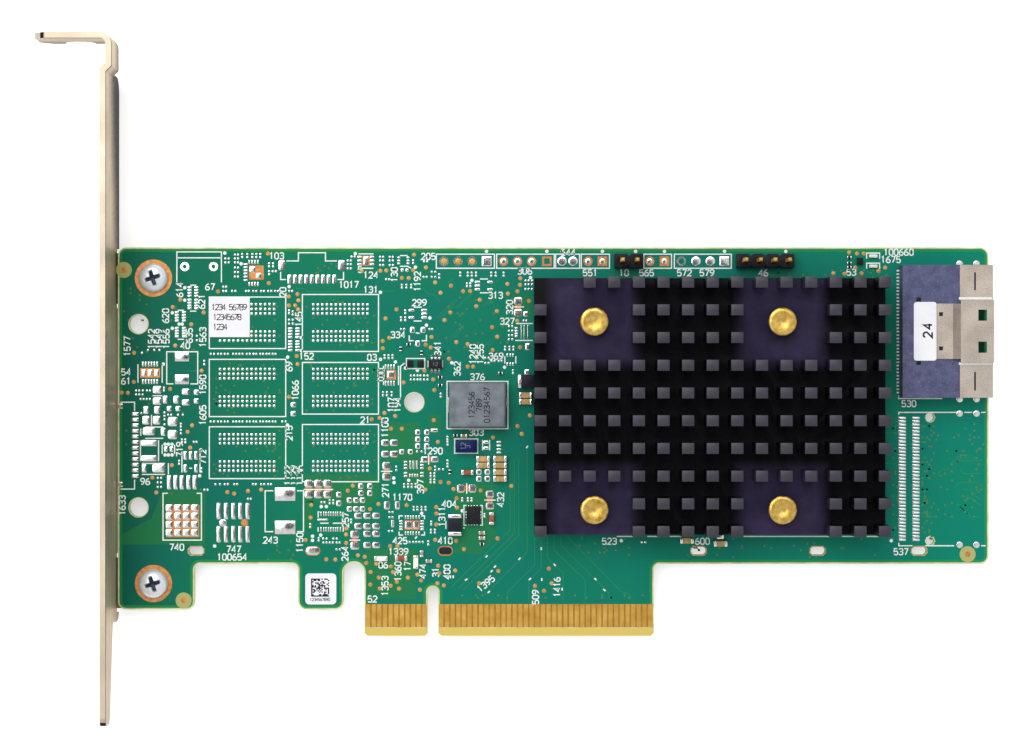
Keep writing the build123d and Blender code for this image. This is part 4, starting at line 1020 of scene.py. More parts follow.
SLOT_Y = 15.1
for x in (-42.0, 47.1, 68.2, 86.2):
    slot_rim(copper, x, SLOT_Y, 2.6, 1.4, 0.12, PLATE_HIGH)
slot_rim(copper, -21.3, SLOT_Y, 2.4, 1.35, 0.14, PLATE_HIGH)
prism(tin, box_outline(-21.3, SLOT_Y, 2.4, 1.35, 0.67, 8), 0.0, 0.06, 0.3)
slot_rim(copper, 2.2, SLOT_Y, 2.3, 1.3, 0.2, PLATE_HIGH)

dark = bmesh.new()
prism(dark, box_outline(2.2, SLOT_Y, 2.3, 1.3, 0.65, 8), 0.0, 0.012)
ALIGNMENT = ((-54.8, 64.9), (-44.2, 6.3), (94.8, 14.5))
for x, y in ALIGNMENT:
    prism(copper, round_outline(x, y, 0.5, 20), 0.0, 0.04)
print(len(ALIGNMENT), "alignment discs")

# %% [markdown]
# ### Test points
# Each dot is a low dome of plated copper. They stand where they were seen, and all of them
# together are one piece.

# %% Bare copper dots, placed one by one
DOTS = (
    (0.05, 45.5), (0.25, 43.6), (0.15, 38.25), (0.9, 34.4), (10.65, 35.2), (15.0, 37.2), (15.75, 35.85),
    (17.2, 39.1), (0.4, 62.7), (3.2, 62.1), (1.35, 60.85), (5.35, 61.1), (6.6, 61.15), (13.2, 62.4),
    (15.5, 63.4), (15.45, 62.25), (15.0, 61.1), (13.3, 60.7), (8.3, 59.6), (7.7, 58.45), (3.1, 57.35),
    (2.05, 56.0), (11.35, 57.6), (17.05, 59.4), (14.95, 55.9), (10.5, 54.75), (11.4, 53.05), (0.6, 22.85),
    (0.6, 21.7), (0.6, 19.75), (0.4, 17.05), (4.1, 16.9), (5.5, 15.4), (11.45, 17.3), (1.35, 27.3),
    (2.8, 27.15), (3.65, 26.05), (8.45, 25.8), (4.2, 24.4), (4.3, 22.75), (13.9, 26.6),
    (-38.1, 61.1), (-44.8, 59.6), (-46.15, 58.3), (-40.65, 57.35), (-42.85, 55.25), (-45.7, 51.5),
    (-53.0, 50.2), (-41.0, 47.05), (-53.05, 45.05), (-54.1, 43.1), (-55.2, 43.15), (-46.6, 43.8),
    (-42.7, 37.35), (-43.5, 36.2), (-43.05, 33.4), (-46.3, 30.3), (-49.75, 28.05), (-49.05, 25.45),
    (-36.45, 25.5), (-35.25, 25.25), (-32.8, 25.7), (-29.25, 67.8), (-29.1, 62.55), (-25.55, 60.2),
    (-24.0, 60.6), (-23.85, 59.5), (-24.4, 58.6), (-25.55, 58.6), (-23.9, 57.9), (-12.65, 64.7),
    (-9.3, 64.75), (-8.25, 64.8), (-8.4, 56.3), (-8.9, 52.3), (-8.9, 51.0), (-7.75, 52.85), (-6.45, 57.9),
    (-24.15, 49.65), (-24.0, 48.2), (-25.5, 42.4), (-8.6, 39.55), (-9.45, 38.65), (-10.85, 38.4),
    (-6.7, 39.0), (-7.45, 36.75), (-30.45, 25.95), (-14.2, 26.65), (-15.1, 25.75), (-21.6, 23.2),
    (-21.7, 21.0), (-22.6, 17.0), (-15.35, 19.05), (-15.4, 18.0), (-15.4, 16.5), (-11.15, 22.5),
    (-9.65, 23.4), (-13.3, 14.3), (-12.1, 14.05), (-18.9, 13.6), (-17.3, 13.55), (-11.8, 12.95),
    (-7.6, 15.9), (-6.3, 15.9), (-3.35, 67.6), (-3.5, 64.85), (-1.25, 65.35), (-5.5, 63.5), (-4.3, 63.45),
    (-0.25, 53.0), (4.15, 52.1), (6.15, 51.75), (-1.3, 51.65), (-0.4, 51.15), (10.6, 50.7), (15.45, 51.2),
    (-1.5, 47.05), (2.85, 49.15), (6.15, 47.75), (7.15, 47.75), (-5.2, 44.95), (-5.5, 36.75),
    (-0.55, 29.7), (-1.35, 25.95), (-4.65, 23.2), (-10.05, 12.8), (-7.45, 12.3), (-11.05, 11.35),
    (-7.05, 11.3), (-9.6, 10.35), (-4.45, 10.35), (-2.75, 10.9), (-2.1, 9.85), (-11.1, 9.1), (-7.5, 8.9),
    (-9.45, 8.4), (-6.4, 9.6), (-6.0, 8.4), (-2.3, 8.2), (0.95, 12.45), (1.1, 11.1), (0.8, 9.35),
    (1.95, 8.95), (3.95, 11.6), (8.2, 9.35), (11.6, 11.55), (20.55, 11.95), (21.05, 9.35), (18.1, 8.9),
    (19.7, 8.0), (73.8, 68.0), (75.2, 67.8), (76.4, 67.8), (74.9, 65.3), (71.0, 64.3), (73.0, 64.2),
    (76.0, 64.3), (79.0, 64.7), (80.2, 65.3),
)
DOT_RADIUS = 0.36
dots = bmesh.new()
for x, y in DOTS:
    prism(dots, round_outline(x, y, DOT_RADIUS, 14), 0.0, 0.045, 0.15)
piece("test_dots", dots, "via_gold", smooth=50)
piece("copper_rings", copper, "copper")
piece("gold_centres", gold, "gold", smooth=50)
piece("dark_slot", dark, "dark_ink_and_painted_shade")

# %% [markdown]
# ## Solder pads of parts that are not fitted
# The card is one of a family, so many footprints are empty. Their pads were levelled with
# solder and shine white. A row of the table is a pad's length and width, then the columns and
# rows where it stands, in millimetres.

# %% Pads by size, columns and rows
PADS = (
    # Memory footprints, two columns of three
    *((0.42, 0.42, tuple(left + 0.8 * i for i in range(13)), rows) for left, rows in (
        (-37.75, (58.8, 57.95, 57.15, 53.95, 53.2, 52.35)), (-37.75, (47.3, 46.45, 45.65, 42.4, 41.6, 40.8)),
        (-37.75, (35.7, 34.9, 34.15, 30.9, 30.1, 29.3)), (-21.2, (58.75, 57.95, 57.15, 53.95, 53.1, 52.35)),
        (-21.2, (47.3, 46.45, 45.65, 42.45, 41.6, 40.8)), (-21.2, (35.7, 34.9, 34.15, 30.9, 30.1, 29.3)))),
    # Resistor networks
    (0.7, 0.33, (-43.15, -41.95), (61.8, 61.3, 60.8, 60.3, 59.6, 59.07, 58.55, 58.1)),
    (0.7, 0.33, (-45.4, -44.15), (57.4, 56.9, 56.4, 55.9, 54.6, 54.1, 53.6, 53.1)),
    (0.75, 0.33, (-25.3, -24.0), (54.5, 54.0, 53.45, 52.95, 52.2, 51.7, 51.2, 50.65)),
    # Edge connector on the left and the four-row programming connector
    (1.25, 0.62, (-52.75,), tuple(39.35 - 1.0 * i for i in range(12))),
    (0.9, 0.9, (-55.4,), (40.75, 26.85)),
    (0.75, 2.9, (-37.95, -36.65, -35.35, -34.1, -32.8), (22.15, 18.05)),
    # Small outline packages along the top
    (0.62, 1.6, tuple(-25.45 + 0.994 * i for i in range(9)), (63.25,)),
    (1.15, 1.75, (-26.8, -16.2), (65.75,)),
    (0.75, 0.35, (-13.0, -10.8), (67.2, 66.55, 65.9)),
    (0.5, 0.28, (-6.05, -4.4), (67.1, 66.55, 66.05)),
    (0.9, 0.38, (7.9,), (62.75, 62.1, 61.45)), (0.9, 0.38, (10.15,), (62.75, 61.45)),
    (0.95, 0.42, (-3.8,), (57.75, 56.45)), (0.95, 0.42, (-1.55,), (57.75, 57.1, 56.45)),
    (0.8, 1.05, (-3.65, -1.75), (54.25,)), (0.75, 1.05, (-2.7,), (51.85,)),
    (0.5, 0.55, (-5.45, -4.6), (64.85,)),
    # Quad packages
    (0.28, 0.7, (-32.55, -32.05, -31.55, -31.05), (66.3, 62.4)),
    (0.7, 0.28, (-33.2,), (65.9, 65.35, 64.8, 64.25, 63.7, 63.1)),
    (0.3, 0.85, (-51.45, -50.95, -50.4, -49.9, -49.4, -48.9), (48.2, 45.1)),
    (0.65, 0.95, (-47.35, -46.35), (33.1,)),
    (0.26, 0.85, (-8.4, -7.9, -7.4, -6.9), (47.7, 44.8)),
    (0.24, 0.62, (-4.85, -4.4, -3.95, -3.5, -2.95, -2.45), (21.05, 18.2)),
    (0.62, 0.26, (-5.65, -1.9), (20.35, 19.9, 19.35, 18.9)),
    (0.3, 1.5, (-4.0, -3.45, -2.85), (30.35,)), (0.6, 0.3, (-4.85, -1.95), (30.85, 30.3, 29.75, 28.9, 28.35)),
    (0.26, 0.55, (-4.1, -3.65, -3.2, -2.75), (28.45,)),
    (0.22, 0.75, (-19.85, -19.35, -18.95, -18.5, -18.1, -17.65, -17.25, -16.9, -16.4), (18.9, 21.65)),
    (1.9, 0.3, (-19.5,), (20.6,)),
    (0.22, 0.28, (6.35, 6.85, 7.35, 7.85), (23.05, 19.75)), (0.28, 0.22, (5.93, 8.47), (21.95, 21.45, 21.0)),
    (0.28, 0.55, (13.2, 13.75, 14.2), (49.8, 48.2)),
    (0.55, 0.3, (14.8,), (54.6, 54.1, 53.6, 53.15)), (0.2, 2.6, (15.7, 16.2, 16.85), (53.9,)),
    # Pairs and groups of larger pads, the left of the board
    (1.55, 1.3, (-48.85,), (43.65, 41.65)), (0.85, 1.35, (-47.45,), (41.9,)), (1.0, 1.35, (-45.5,), (41.9,)),
    (1.35, 1.05, (-43.8,), (43.3, 41.4)), (0.85, 0.9, (-41.95,), (43.2, 41.65)),
    (1.0, 1.35, (-50.85, -48.9), (40.05,)), (0.85, 0.9, (-46.75, -45.2), (40.3,)),
    (1.35, 1.5, (-50.85, -48.95), (38.25,)), (1.75, 1.6, (-46.1,), (38.0, 35.7)),
    (2.15, 1.4, (-50.35,), (36.3,)), (0.85, 1.4, (-47.8,), (36.2,)), (2.8, 1.05, (-50.3,), (34.2, 31.5)),
    (0.9, 1.4, (-51.2,), (29.7,)), (2.25, 1.5, (-48.6,), (29.75,)),
    (0.6, 1.5, (-43.9, -42.95, -42.0), (32.0,)), (0.6, 1.4, (-43.9, -42.0), (29.7,)),
    (0.75, 2.5, (-46.75, -45.6, -44.5, -43.3, -42.2), (27.25,)),
    # The middle of the board
    (0.9, 0.9, (-24.75,), (41.0, 39.4)), (1.35, 1.1, (-8.45, -6.9), (34.25, 32.25)),
    (1.45, 1.35, (-8.2,), (30.15, 28.25)), (1.45, 1.35, (-22.0, -20.3, -18.65), (27.0, 25.1)),
    (0.85, 0.95, (-16.7,), (25.05, 23.5)), (0.88, 0.95, (-12.8, -11.2), (26.55, 25.3)),
    (0.9, 0.92, (-14.8, -13.65, -12.5), (24.05, 22.5)), (1.3, 1.05, (-13.25, -11.65, -10.05), (21.3, 19.45)),
    (1.3, 1.05, (-11.65, -10.05), (18.1, 16.1)), (1.5, 1.35, (-13.85,), (18.0, 16.0)),
    (1.0, 1.4, (-8.15,), (23.15,)), (0.8, 1.4, (-6.3,), (23.15,)), (0.5, 1.25, (-7.15,), (19.9,)),
    (0.85, 0.92, (-2.7, -1.1), (36.1, 34.85, 33.65)), (1.2, 0.55, (0.25,), (36.45,)),
    (0.85, 0.85, (-5.55, -4.0), (32.65,)), (1.3, 1.0, (-1.45, 0.3), (31.3,)),
    (0.9, 0.95, (8.15, 9.65), (29.05, 27.85)), (1.4, 1.2, (10.1,), (25.15, 23.05)),
    (1.3, 1.45, (4.95, 7.0), (26.15,)), (1.4, 1.3, (15.1,), (59.4, 57.3)), (0.8, 0.9, (16.45,), (57.1,)),
    (0.8, 1.2, (16.8,), (51.3,)), (0.9, 0.5, (9.4,), (34.35, 33.3)),
    (0.75, 0.3, (11.7,), (34.4, 33.75, 33.1, 32.5)), (0.85, 1.0, (16.7,), (46.75,)),
    (1.0, 0.7, (44.95,), (17.9,)), (1.2, 0.8, (50.95,), (17.6,)),
)
PAD_HIGH = 0.05
PAD_CORNER = 0.22
PAD_CROWN = 0.3
pads = bmesh.new()
for length, width, xs, ys in PADS:
    least = min(length, width)
    for x in xs:
        for y in ys:
            outline = box_outline(x, y, length, width, least * PAD_CORNER)
            prism(pads, outline, 0.0, PAD_HIGH, least * PAD_CROWN)
print(sum(len(xs) * len(ys) for length, width, xs, ys in PADS), "pads")

# %% [markdown]
# ### The smallest pads
# Resistors and capacitors shorter than a millimetre stand on pairs of square pads. All have one
# size, so a row of the table is only columns and rows.

# %% Pairs of the smallest pads
SMALL_PAD = 0.36
SMALL_PADS = (
    ((-41.85,), (53.2, 52.4)), ((-35.1, -34.55), (67.6, 66.9, 66.2, 65.3, 64.5, 63.7)),
    ((-36.8, -36.2), (66.9, 66.2)), ((-33.8, -32.9, -32.0, -31.3, -30.6), (67.7, 67.15)),
    ((-37.15, -36.65), (61.9, 61.15)), ((-35.6, -35.0, -33.15, -32.65, -31.85, -31.3), (61.15,)),
    ((-50.55, -49.4, -48.5), (50.7,)), ((-51.6,), (50.2,)), ((-40.55,), (48.75, 48.15)),
    ((-52.65, -52.1, -51.45, -50.7, -50.2), (43.5,)), ((-52.65, -52.1, -51.5), (42.8,)),
    ((-51.85, -51.3, -50.75, -50.2), (42.0,)), ((-47.7,), (44.0, 43.5)), ((-47.6,), (39.6, 39.0, 38.4, 37.5)),
    ((-46.95, -46.4, -45.2, -44.35), (39.2,)), ((-44.7,), (37.6, 37.1, 36.5, 35.9)),
    ((-44.5, -43.9), (34.8, 34.3)), ((-42.4, -41.9), (34.4,)), ((-45.0,), (31.05, 30.5)),
    ((-48.8, -48.2), (28.0, 27.2, 26.4)), ((-41.05,), (29.7, 29.1)), ((-40.5, -39.95), (25.9,)),
    ((-38.55, -37.75, -36.9, -36.35, -35.2, -34.7, -31.9, -31.4, -30.45, -29.9, -29.2, -28.7), (26.9,)),
    ((-32.8, -32.3), (24.3,)), ((-51.7,), (39.5,)),
    *(((-39.4, -38.8, -38.1, -37.55, -36.9, -36.35, -35.4, -34.85, -34.3, -33.75, -33.0, -32.45, -31.8,
        -31.3, -30.6, -30.1, -29.5, -29.0, -28.4, -27.9), (y,)) for y in (50.0, 38.0)),
    ((-26.7, -26.1), (38.0,)), ((-29.05, -28.35), (66.05, 65.5)), ((-29.05, -28.4, -27.85), (64.65,)),
    ((-29.05,), (64.1,)), ((-25.45, -24.95), (61.15,)),
    ((-30.45, -29.95, -29.2, -28.65, -27.95, -27.45), (61.15,)),
    ((-25.5,), (57.7, 57.2, 56.05, 55.35)), ((-24.85,), (57.5, 56.95, 56.05, 55.35)),
    ((-14.4, -13.85), (67.25,)), ((-15.1, -14.55), (66.55, 65.9, 65.15)),
    ((-9.35, -8.8, -7.65, -7.1), (67.2, 66.55, 65.75)), ((-8.3, -7.75), (63.25,)),
    ((-8.55, -7.85, -7.15), (49.75, 49.25)), ((-8.85, -8.15, -7.3), (43.2, 42.65)),
    ((-19.75, -19.2), (23.7,)), ((-18.3, -17.65), (24.05, 23.5)), ((-21.75,), (19.8, 19.3)),
    ((-20.25,), (17.35, 16.9)), ((-19.45, -18.85, -17.65, -17.05), (17.25,)),
    ((-19.4, -18.85, -18.3, -17.75, -17.05, -16.55), (16.55,)), ((-17.1, -16.5), (15.35,)),
    ((-14.5,), (20.6, 20.1)), ((-7.7, -7.15), (21.95, 21.05)), ((-7.8, -7.2), (18.6,)),
    ((-6.5,), (30.0, 29.4)), ((-3.5,), (66.6, 66.1)), ((-1.55, -1.0), (66.4,)), ((-1.65, -1.1), (63.65,)),
    ((-0.2, 0.45), (64.55, 63.65)), ((1.12,), (64.1, 63.5)), ((-5.5, -4.7, -3.85), (62.25, 61.75)),
    ((4.85, 6.2, 6.9, 7.65, 10.35, 11.15, 12.55), (64.4, 63.85)), ((6.05, 6.65), (62.5, 62.0)),
    ((-4.9,), (57.7, 57.2)), ((-5.65, -4.9), (56.45, 55.95)), ((-0.6, -0.1), (54.4,)),
    ((-5.65, -5.1), (54.4,)), ((16.1, 16.6), (55.9,)), ((13.5, 14.1), (54.9, 54.1, 53.3, 52.6)),
    ((12.8, 13.6, 14.3), (51.25, 50.75)), ((16.45, 17.0, 17.6), (63.0, 62.3, 61.5)),
    ((-3.9, -3.3, -2.7, -2.2, -1.55, -0.95), (46.15, 45.45)), ((1.4,), (42.95, 42.4)),
    ((10.4, 10.95, 11.7, 12.2), (48.75,)), ((14.2,), (47.1, 46.6)), ((2.6,), (35.3, 34.8, 34.4, 33.9)),
    ((-2.8, -2.0), (32.7,)), ((0.4,), (30.0, 29.4)), ((1.1, 1.8), (29.55,)), ((2.6,), (31.1, 30.5, 30.0)),
    ((-0.4, 0.27), (28.8, 28.3, 27.7, 27.2)), ((-5.1, -4.4, -3.75, -3.05), (26.9, 26.4)),
    ((-3.4, -2.75, -2.0, -1.3), (22.85, 22.35)), ((-0.3,), (20.25, 19.75)), ((-0.35, 0.35), (18.8, 18.3)),
    ((-0.82,), (16.75, 16.2)), ((-4.6, -4.1, -3.5, -2.95, -2.4, -1.8), (16.65,)),
    ((5.2, 6.2, 6.85), (24.4, 23.95)),
    ((9.15,), (21.6, 21.15)), ((37.05, 37.65), (16.65,)), ((9.3, 9.9), (49.3, 48.4)),
)
for xs, ys in SMALL_PADS:
    for x in xs:
        for y in ys:
            prism(pads, box_outline(x, y, SMALL_PAD, SMALL_PAD, 0.08, 1), 0.0, 0.045, 0.1)
print(sum(len(xs) * len(ys) for xs, ys in SMALL_PADS), "small pads")

# %% [markdown]
# ### The spare port
# A second port could stand beside the first. Its place has two rows of thin pads, as many as the
# port has contacts, and round plated holes for its pegs.

# %% The spare port's pads and plated holes
SPARE_ROWS = 37
SPARE_PITCH = 0.6
SPARE_TOP = 38.65
SPARE_SIZE = (1.32, 0.36)
PEG_RADIUS = 0.56
PEG_HIGH = 0.06
for x in (83.2, 85.62):
    for i in range(SPARE_ROWS):
        prism(pads, box_outline(x, SPARE_TOP - i * SPARE_PITCH, *SPARE_SIZE, 0.08), 0.0, PAD_HIGH, 0.1)
for x, y in ((93.4, 39.45), (96.4, 39.45), (93.4, 16.15), (96.38, 16.15)):
    prism(pads, round_outline(x, y, PEG_RADIUS, 20), 0.0, PEG_HIGH, 0.2)
for x in (93.4, 96.4):
    for y in (42.0, 66.0):
        prism(pads, round_outline(x, y, PEG_RADIUS, 20), 0.0, PEG_HIGH, 0.2)
for x, y in ((-44.0, 65.5), (-38.9, 65.5)):
    ring(tin, x, y, 0.8, 0.35, 0.0, 0.05)
prism(pads, round_outline(-37.25, 20.05, 0.65, 20), 0.0, 0.05, 0.2)
piece("solder_pads", pads, "solder", smooth=45)
piece("tinned_rings", tin, "solder", smooth=45)

# %% [markdown]
# ### Copper fields
# A power package sits on a copper field that takes its heat. Solder is printed on the field in
# squares, so that gas can leave between them, and they show as bright tiles on warm copper.

# %% Copper fields under the quad packages and the square lands
LAND_HIGH = 0.022
lands = bmesh.new()
for x, y, length, width in ((-31.3, 64.45, 2.6, 2.5), (-50.15, 46.65, 3.5, 1.7), (-7.4, 46.3, 1.7, 1.7),
                            (-3.7, 19.65, 2.7, 1.7), (-11.85, 66.55, 1.45, 1.75),
                            (-44.35, 20.4, 5.8, 5.75)):
    prism(lands, box_outline(x, y, length, width, 0.1), 0.0, LAND_HIGH)
for x, y in ((-8.2, 29.2), (-13.85, 17.0), (6.0, 26.15), (10.1, 24.1), (15.1, 58.35), (-0.6, 31.3)):
    prism(lands, box_outline(x, y, 1.0, 1.0, 0.1), 0.0, LAND_HIGH)
for x in (-22.0, -20.3, -18.65):
    prism(lands, box_outline(x, 26.05, 1.3, 0.9, 0.1), 0.0, LAND_HIGH)
prism(lands, round_outline(-33.4, 20.05, 0.65, 20), 0.0, 0.05, 0.2)
piece("copper_fields", lands, "copper")

squares = bmesh.new()
for x in (-46.75, -45.2, -43.7, -42.2):
    for y in (22.7, 21.25, 19.75, 18.3):
        prism(squares, box_outline(x, y, 1.2, 1.2, 0.15), 0.02, 0.07, 0.35)
for x, y, length, width in ((-32.0, 65.0, 1.0, 1.0), (-30.9, 63.9, 0.9, 0.9), (-51.3, 46.65, 0.8, 1.2),
                            (-50.15, 46.65, 0.8, 1.2), (-49.0, 46.65, 0.8, 1.2), (-7.45, 46.35, 1.2, 1.2),
                            (-4.3, 19.65, 1.2, 1.3), (-3.0, 19.65, 0.9, 1.3), (-11.85, 66.55, 0.85, 1.5)):
    prism(squares, box_outline(x, y, length, width, 0.12), 0.02, 0.06, 0.25)
piece("soldered_squares", squares, "solder", smooth=45)

# %% [markdown]
# ## White print
# Outlines, dots and running numbers are screen printed in white epoxy ink. The numbers here are
# plain running digits, drawn as strokes on a small grid like a pen plotter's, and each place
# gets the next number.

# %% Digits as pen strokes
ROUND = [(0.15, 0.0), (0.0, 0.2), (0.0, 0.8), (0.15, 1.0), (0.45, 1.0), (0.6, 0.8), (0.6, 0.2), (0.45, 0.0),
         (0.15, 0.0)]
UPPER = [(0.15, 0.52), (0.03, 0.65), (0.03, 0.87), (0.15, 1.0), (0.45, 1.0), (0.57, 0.87), (0.57, 0.65),
         (0.45, 0.52), (0.15, 0.52)]
LOWER = [(0.15, 0.0), (0.0, 0.15), (0.0, 0.37), (0.15, 0.52), (0.45, 0.52), (0.6, 0.37), (0.6, 0.15),
         (0.45, 0.0), (0.15, 0.0)]
SIX = [(0.5, 1.0), (0.2, 0.85), (0.0, 0.5), (0.0, 0.15), (0.15, 0.0), (0.45, 0.0), (0.6, 0.15), (0.6, 0.37),
       (0.45, 0.52), (0.05, 0.5)]
DIGITS = {
    "0": [ROUND], "1": [[(0.12, 0.8), (0.3, 1.0), (0.3, 0.0)]],
    "2": [[(0.0, 0.8), (0.15, 1.0), (0.45, 1.0), (0.6, 0.8), (0.6, 0.6), (0.0, 0.0), (0.6, 0.0)]],
    "3": [[(0.0, 0.87), (0.15, 1.0), (0.45, 1.0), (0.6, 0.85), (0.6, 0.65), (0.45, 0.53), (0.2, 0.53)],
          [(0.45, 0.53), (0.6, 0.38), (0.6, 0.15), (0.45, 0.0), (0.15, 0.0), (0.0, 0.13)]],
    "4": [[(0.45, 0.0), (0.45, 1.0), (0.0, 0.32), (0.6, 0.32)]],
    "5": [[(0.55, 1.0), (0.06, 1.0), (0.0, 0.52), (0.42, 0.6), (0.6, 0.42), (0.6, 0.15), (0.45, 0.0),
           (0.15, 0.0), (0.0, 0.13)]],
    "6": [SIX], "7": [[(0.0, 1.0), (0.6, 1.0), (0.2, 0.0)]], "8": [UPPER, LOWER],
    "9": [[(0.6 - x, 1.0 - y) for x, y in SIX]],
}
DIGIT_HEIGHT = 1.08
DIGIT_PITCH = 0.9
INK_LOW = 0.0
INK_HIGH = 0.032


def number(bm, text, x, y, turn=0, height=DIGIT_HEIGHT, pen=0.2, low=INK_LOW, high=INK_HIGH):
    """Draws digits with their middle at a place, turned by so many degrees."""
    pitch = DIGIT_PITCH * height / DIGIT_HEIGHT
    cos, sin = math.cos(math.radians(turn)), math.sin(math.radians(turn))
    for i, digit in enumerate(text):
        for line in DIGITS[digit]:
            flat = [((i - len(text) / 2) * pitch + px * height + 0.1 * height, (py - 0.5) * height)
                    for px, py in line]
            turned_line = [(x + px * cos - py * sin, y + px * sin + py * cos) for px, py in flat]
            stroke(bm, turned_line, pen, low, high)


print(sum(len(lines) for lines in DIGITS.values()), "strokes make ten digits")

# %% [markdown]
# ### Running numbers
# Each place gets the next plain number, with as many digits as fit there, level or upright.

# %% Running numbers and where they stand
LEVEL, UP, SLANT = 0, 90, 40
NUMBER_PLACES = (
    # Place, number of digits and turn
    (-27.7, 67.4, 3, LEVEL), (-26.6, 61.0, 2, UP), (-14.9, 62.3, 4, LEVEL), (-11.0, 64.0, 3, LEVEL),
    (-11.0, 61.4, 3, LEVEL), (-6.85, 64.1, 3, UP), (-23.8, 56.2, 3, UP), (-22.4, 49.6, 3, LEVEL),
    (-25.5, 47.8, 2, UP), (-24.4, 43.6, 4, UP), (-10.8, 49.4, 2, LEVEL), (-9.2, 46.2, 3, UP),
    (-7.4, 41.0, 3, UP), (-6.3, 41.0, 3, UP), (-12.0, 38.3, 2, LEVEL), (-8.5, 37.0, 4, UP),
    (-25.5, 36.0, 3, UP), (-25.7, 28.5, 4, UP), (-24.7, 28.5, 4, UP), (-23.7, 28.5, 4, UP),
    (-28.8, 17.0, 3, LEVEL), (-23.6, 16.6, 4, UP), (-15.5, 20.6, 3, UP), (-15.6, 14.6, 3, UP),
    (-8.4, 25.9, 3, UP), (-5.4, 24.6, 4, LEVEL), (-0.8, 67.3, 3, LEVEL), (-2.75, 62.9, 4, UP),
    (-2.4, 59.1, 3, LEVEL), (16.3, 64.7, 3, LEVEL), (11.1, 60.4, 3, LEVEL), (13.6, 58.3, 3, UP),
    (13.2, 55.8, 3, LEVEL), (-6.2, 53.4, 3, LEVEL), (0.85, 51.0, 3, UP), (7.1, 50.0, 4, UP),
    (8.4, 50.0, 4, UP), (4.3, 47.4, 3, UP), (11.2, 49.6, 3, LEVEL), (7.9, 45.95, 3, LEVEL),
    (7.7, 36.1, 3, LEVEL), (0.0, 32.8, 4, LEVEL), (-2.2, 26.5, 3, UP), (2.9, 23.4, 3, LEVEL),
    (1.6, 21.2, 4, UP), (2.2, 16.9, 3, LEVEL), (-5.8, 16.9, 3, LEVEL), (12.0, 24.2, 3, UP),
    (-6.1, 14.95, 4, LEVEL), (-8.8, 12.6, 2, LEVEL), (-8.5, 8.9, 4, UP), (-6.2, 11.5, 4, UP),
    (-4.5, 12.4, 2, UP), (-1.8, 11.5, 3, UP), (0.5, 11.3, 2, UP), (2.5, 11.4, 3, UP),
    (9.4, 9.3, 4, SLANT), (-10.7, 6.55, 2, LEVEL), (18.2, 6.9, 3, UP), (22.0, 8.7, 4, UP),
    (31.3, 16.8, 3, LEVEL), (84.4, 41.2, 3, LEVEL), (83.0, 14.95, 3, LEVEL), (24.0, 68.0, 3, LEVEL),
    (27.9, 64.4, 3, LEVEL), (33.9, 64.4, 2, LEVEL), (37.9, 64.4, 3, LEVEL), (44.6, 64.4, 3, LEVEL),
    (48.6, 64.4, 3, LEVEL), (58.6, 64.4, 2, LEVEL), (74.2, 64.5, 2, LEVEL), (47.8, 16.8, 3, LEVEL),
    (-39.5, 61.9, 2, LEVEL), (-44.9, 61.4, 3, UP), (-41.0, 59.3, 3, UP), (-47.4, 56.8, 3, UP),
    (-43.2, 53.3, 3, UP), (-49.9, 52.7, 4, UP), (-48.6, 52.7, 4, UP), (-47.3, 52.7, 4, UP),
    (-40.8, 53.0, 4, UP), (-43.9, 51.5, 2, LEVEL), (-54.2, 51.4, 4, UP), (-54.4, 46.8, 2, LEVEL),
    (-54.4, 45.2, 2, LEVEL),
    (-40.8, 44.6, 4, UP), (-40.8, 39.2, 4, UP), (-40.8, 31.8, 3, UP), (-44.9, 33.1, 3, UP),
    (-51.0, 27.4, 2, LEVEL), (-55.1, 23.2, 4, UP), (-45.4, 15.75, 3, LEVEL), (-35.3, 15.4, 3, LEVEL),
    (-35.6, 14.0, 6, LEVEL), (-12.9, 65.0, 1, LEVEL), (82.6, 68.05, 6, LEVEL), (81.2, 66.75, 4, LEVEL),
)
NUMBER_STEP = 7
ink = bmesh.new()
for i, (x, y, count, turn) in enumerate(NUMBER_PLACES):
    first = 10 ** (count - 1)
    number(ink, str(first + (i * NUMBER_STEP + 3) % (9 * first)), x, y, turn)
piece("printed_numbers", ink, "ink")

# %% [markdown]
# ### Printed outlines
# An outline shows where a part stands. Most are open at their corners or sides, so that the ink
# stays clear of the pads.

# %% Outlines of the parts
def frame_points(left, right, low, high):
    """The corners of a closed rectangle."""
    return [(left, low), (right, low), (right, high), (left, high), (left, low)]


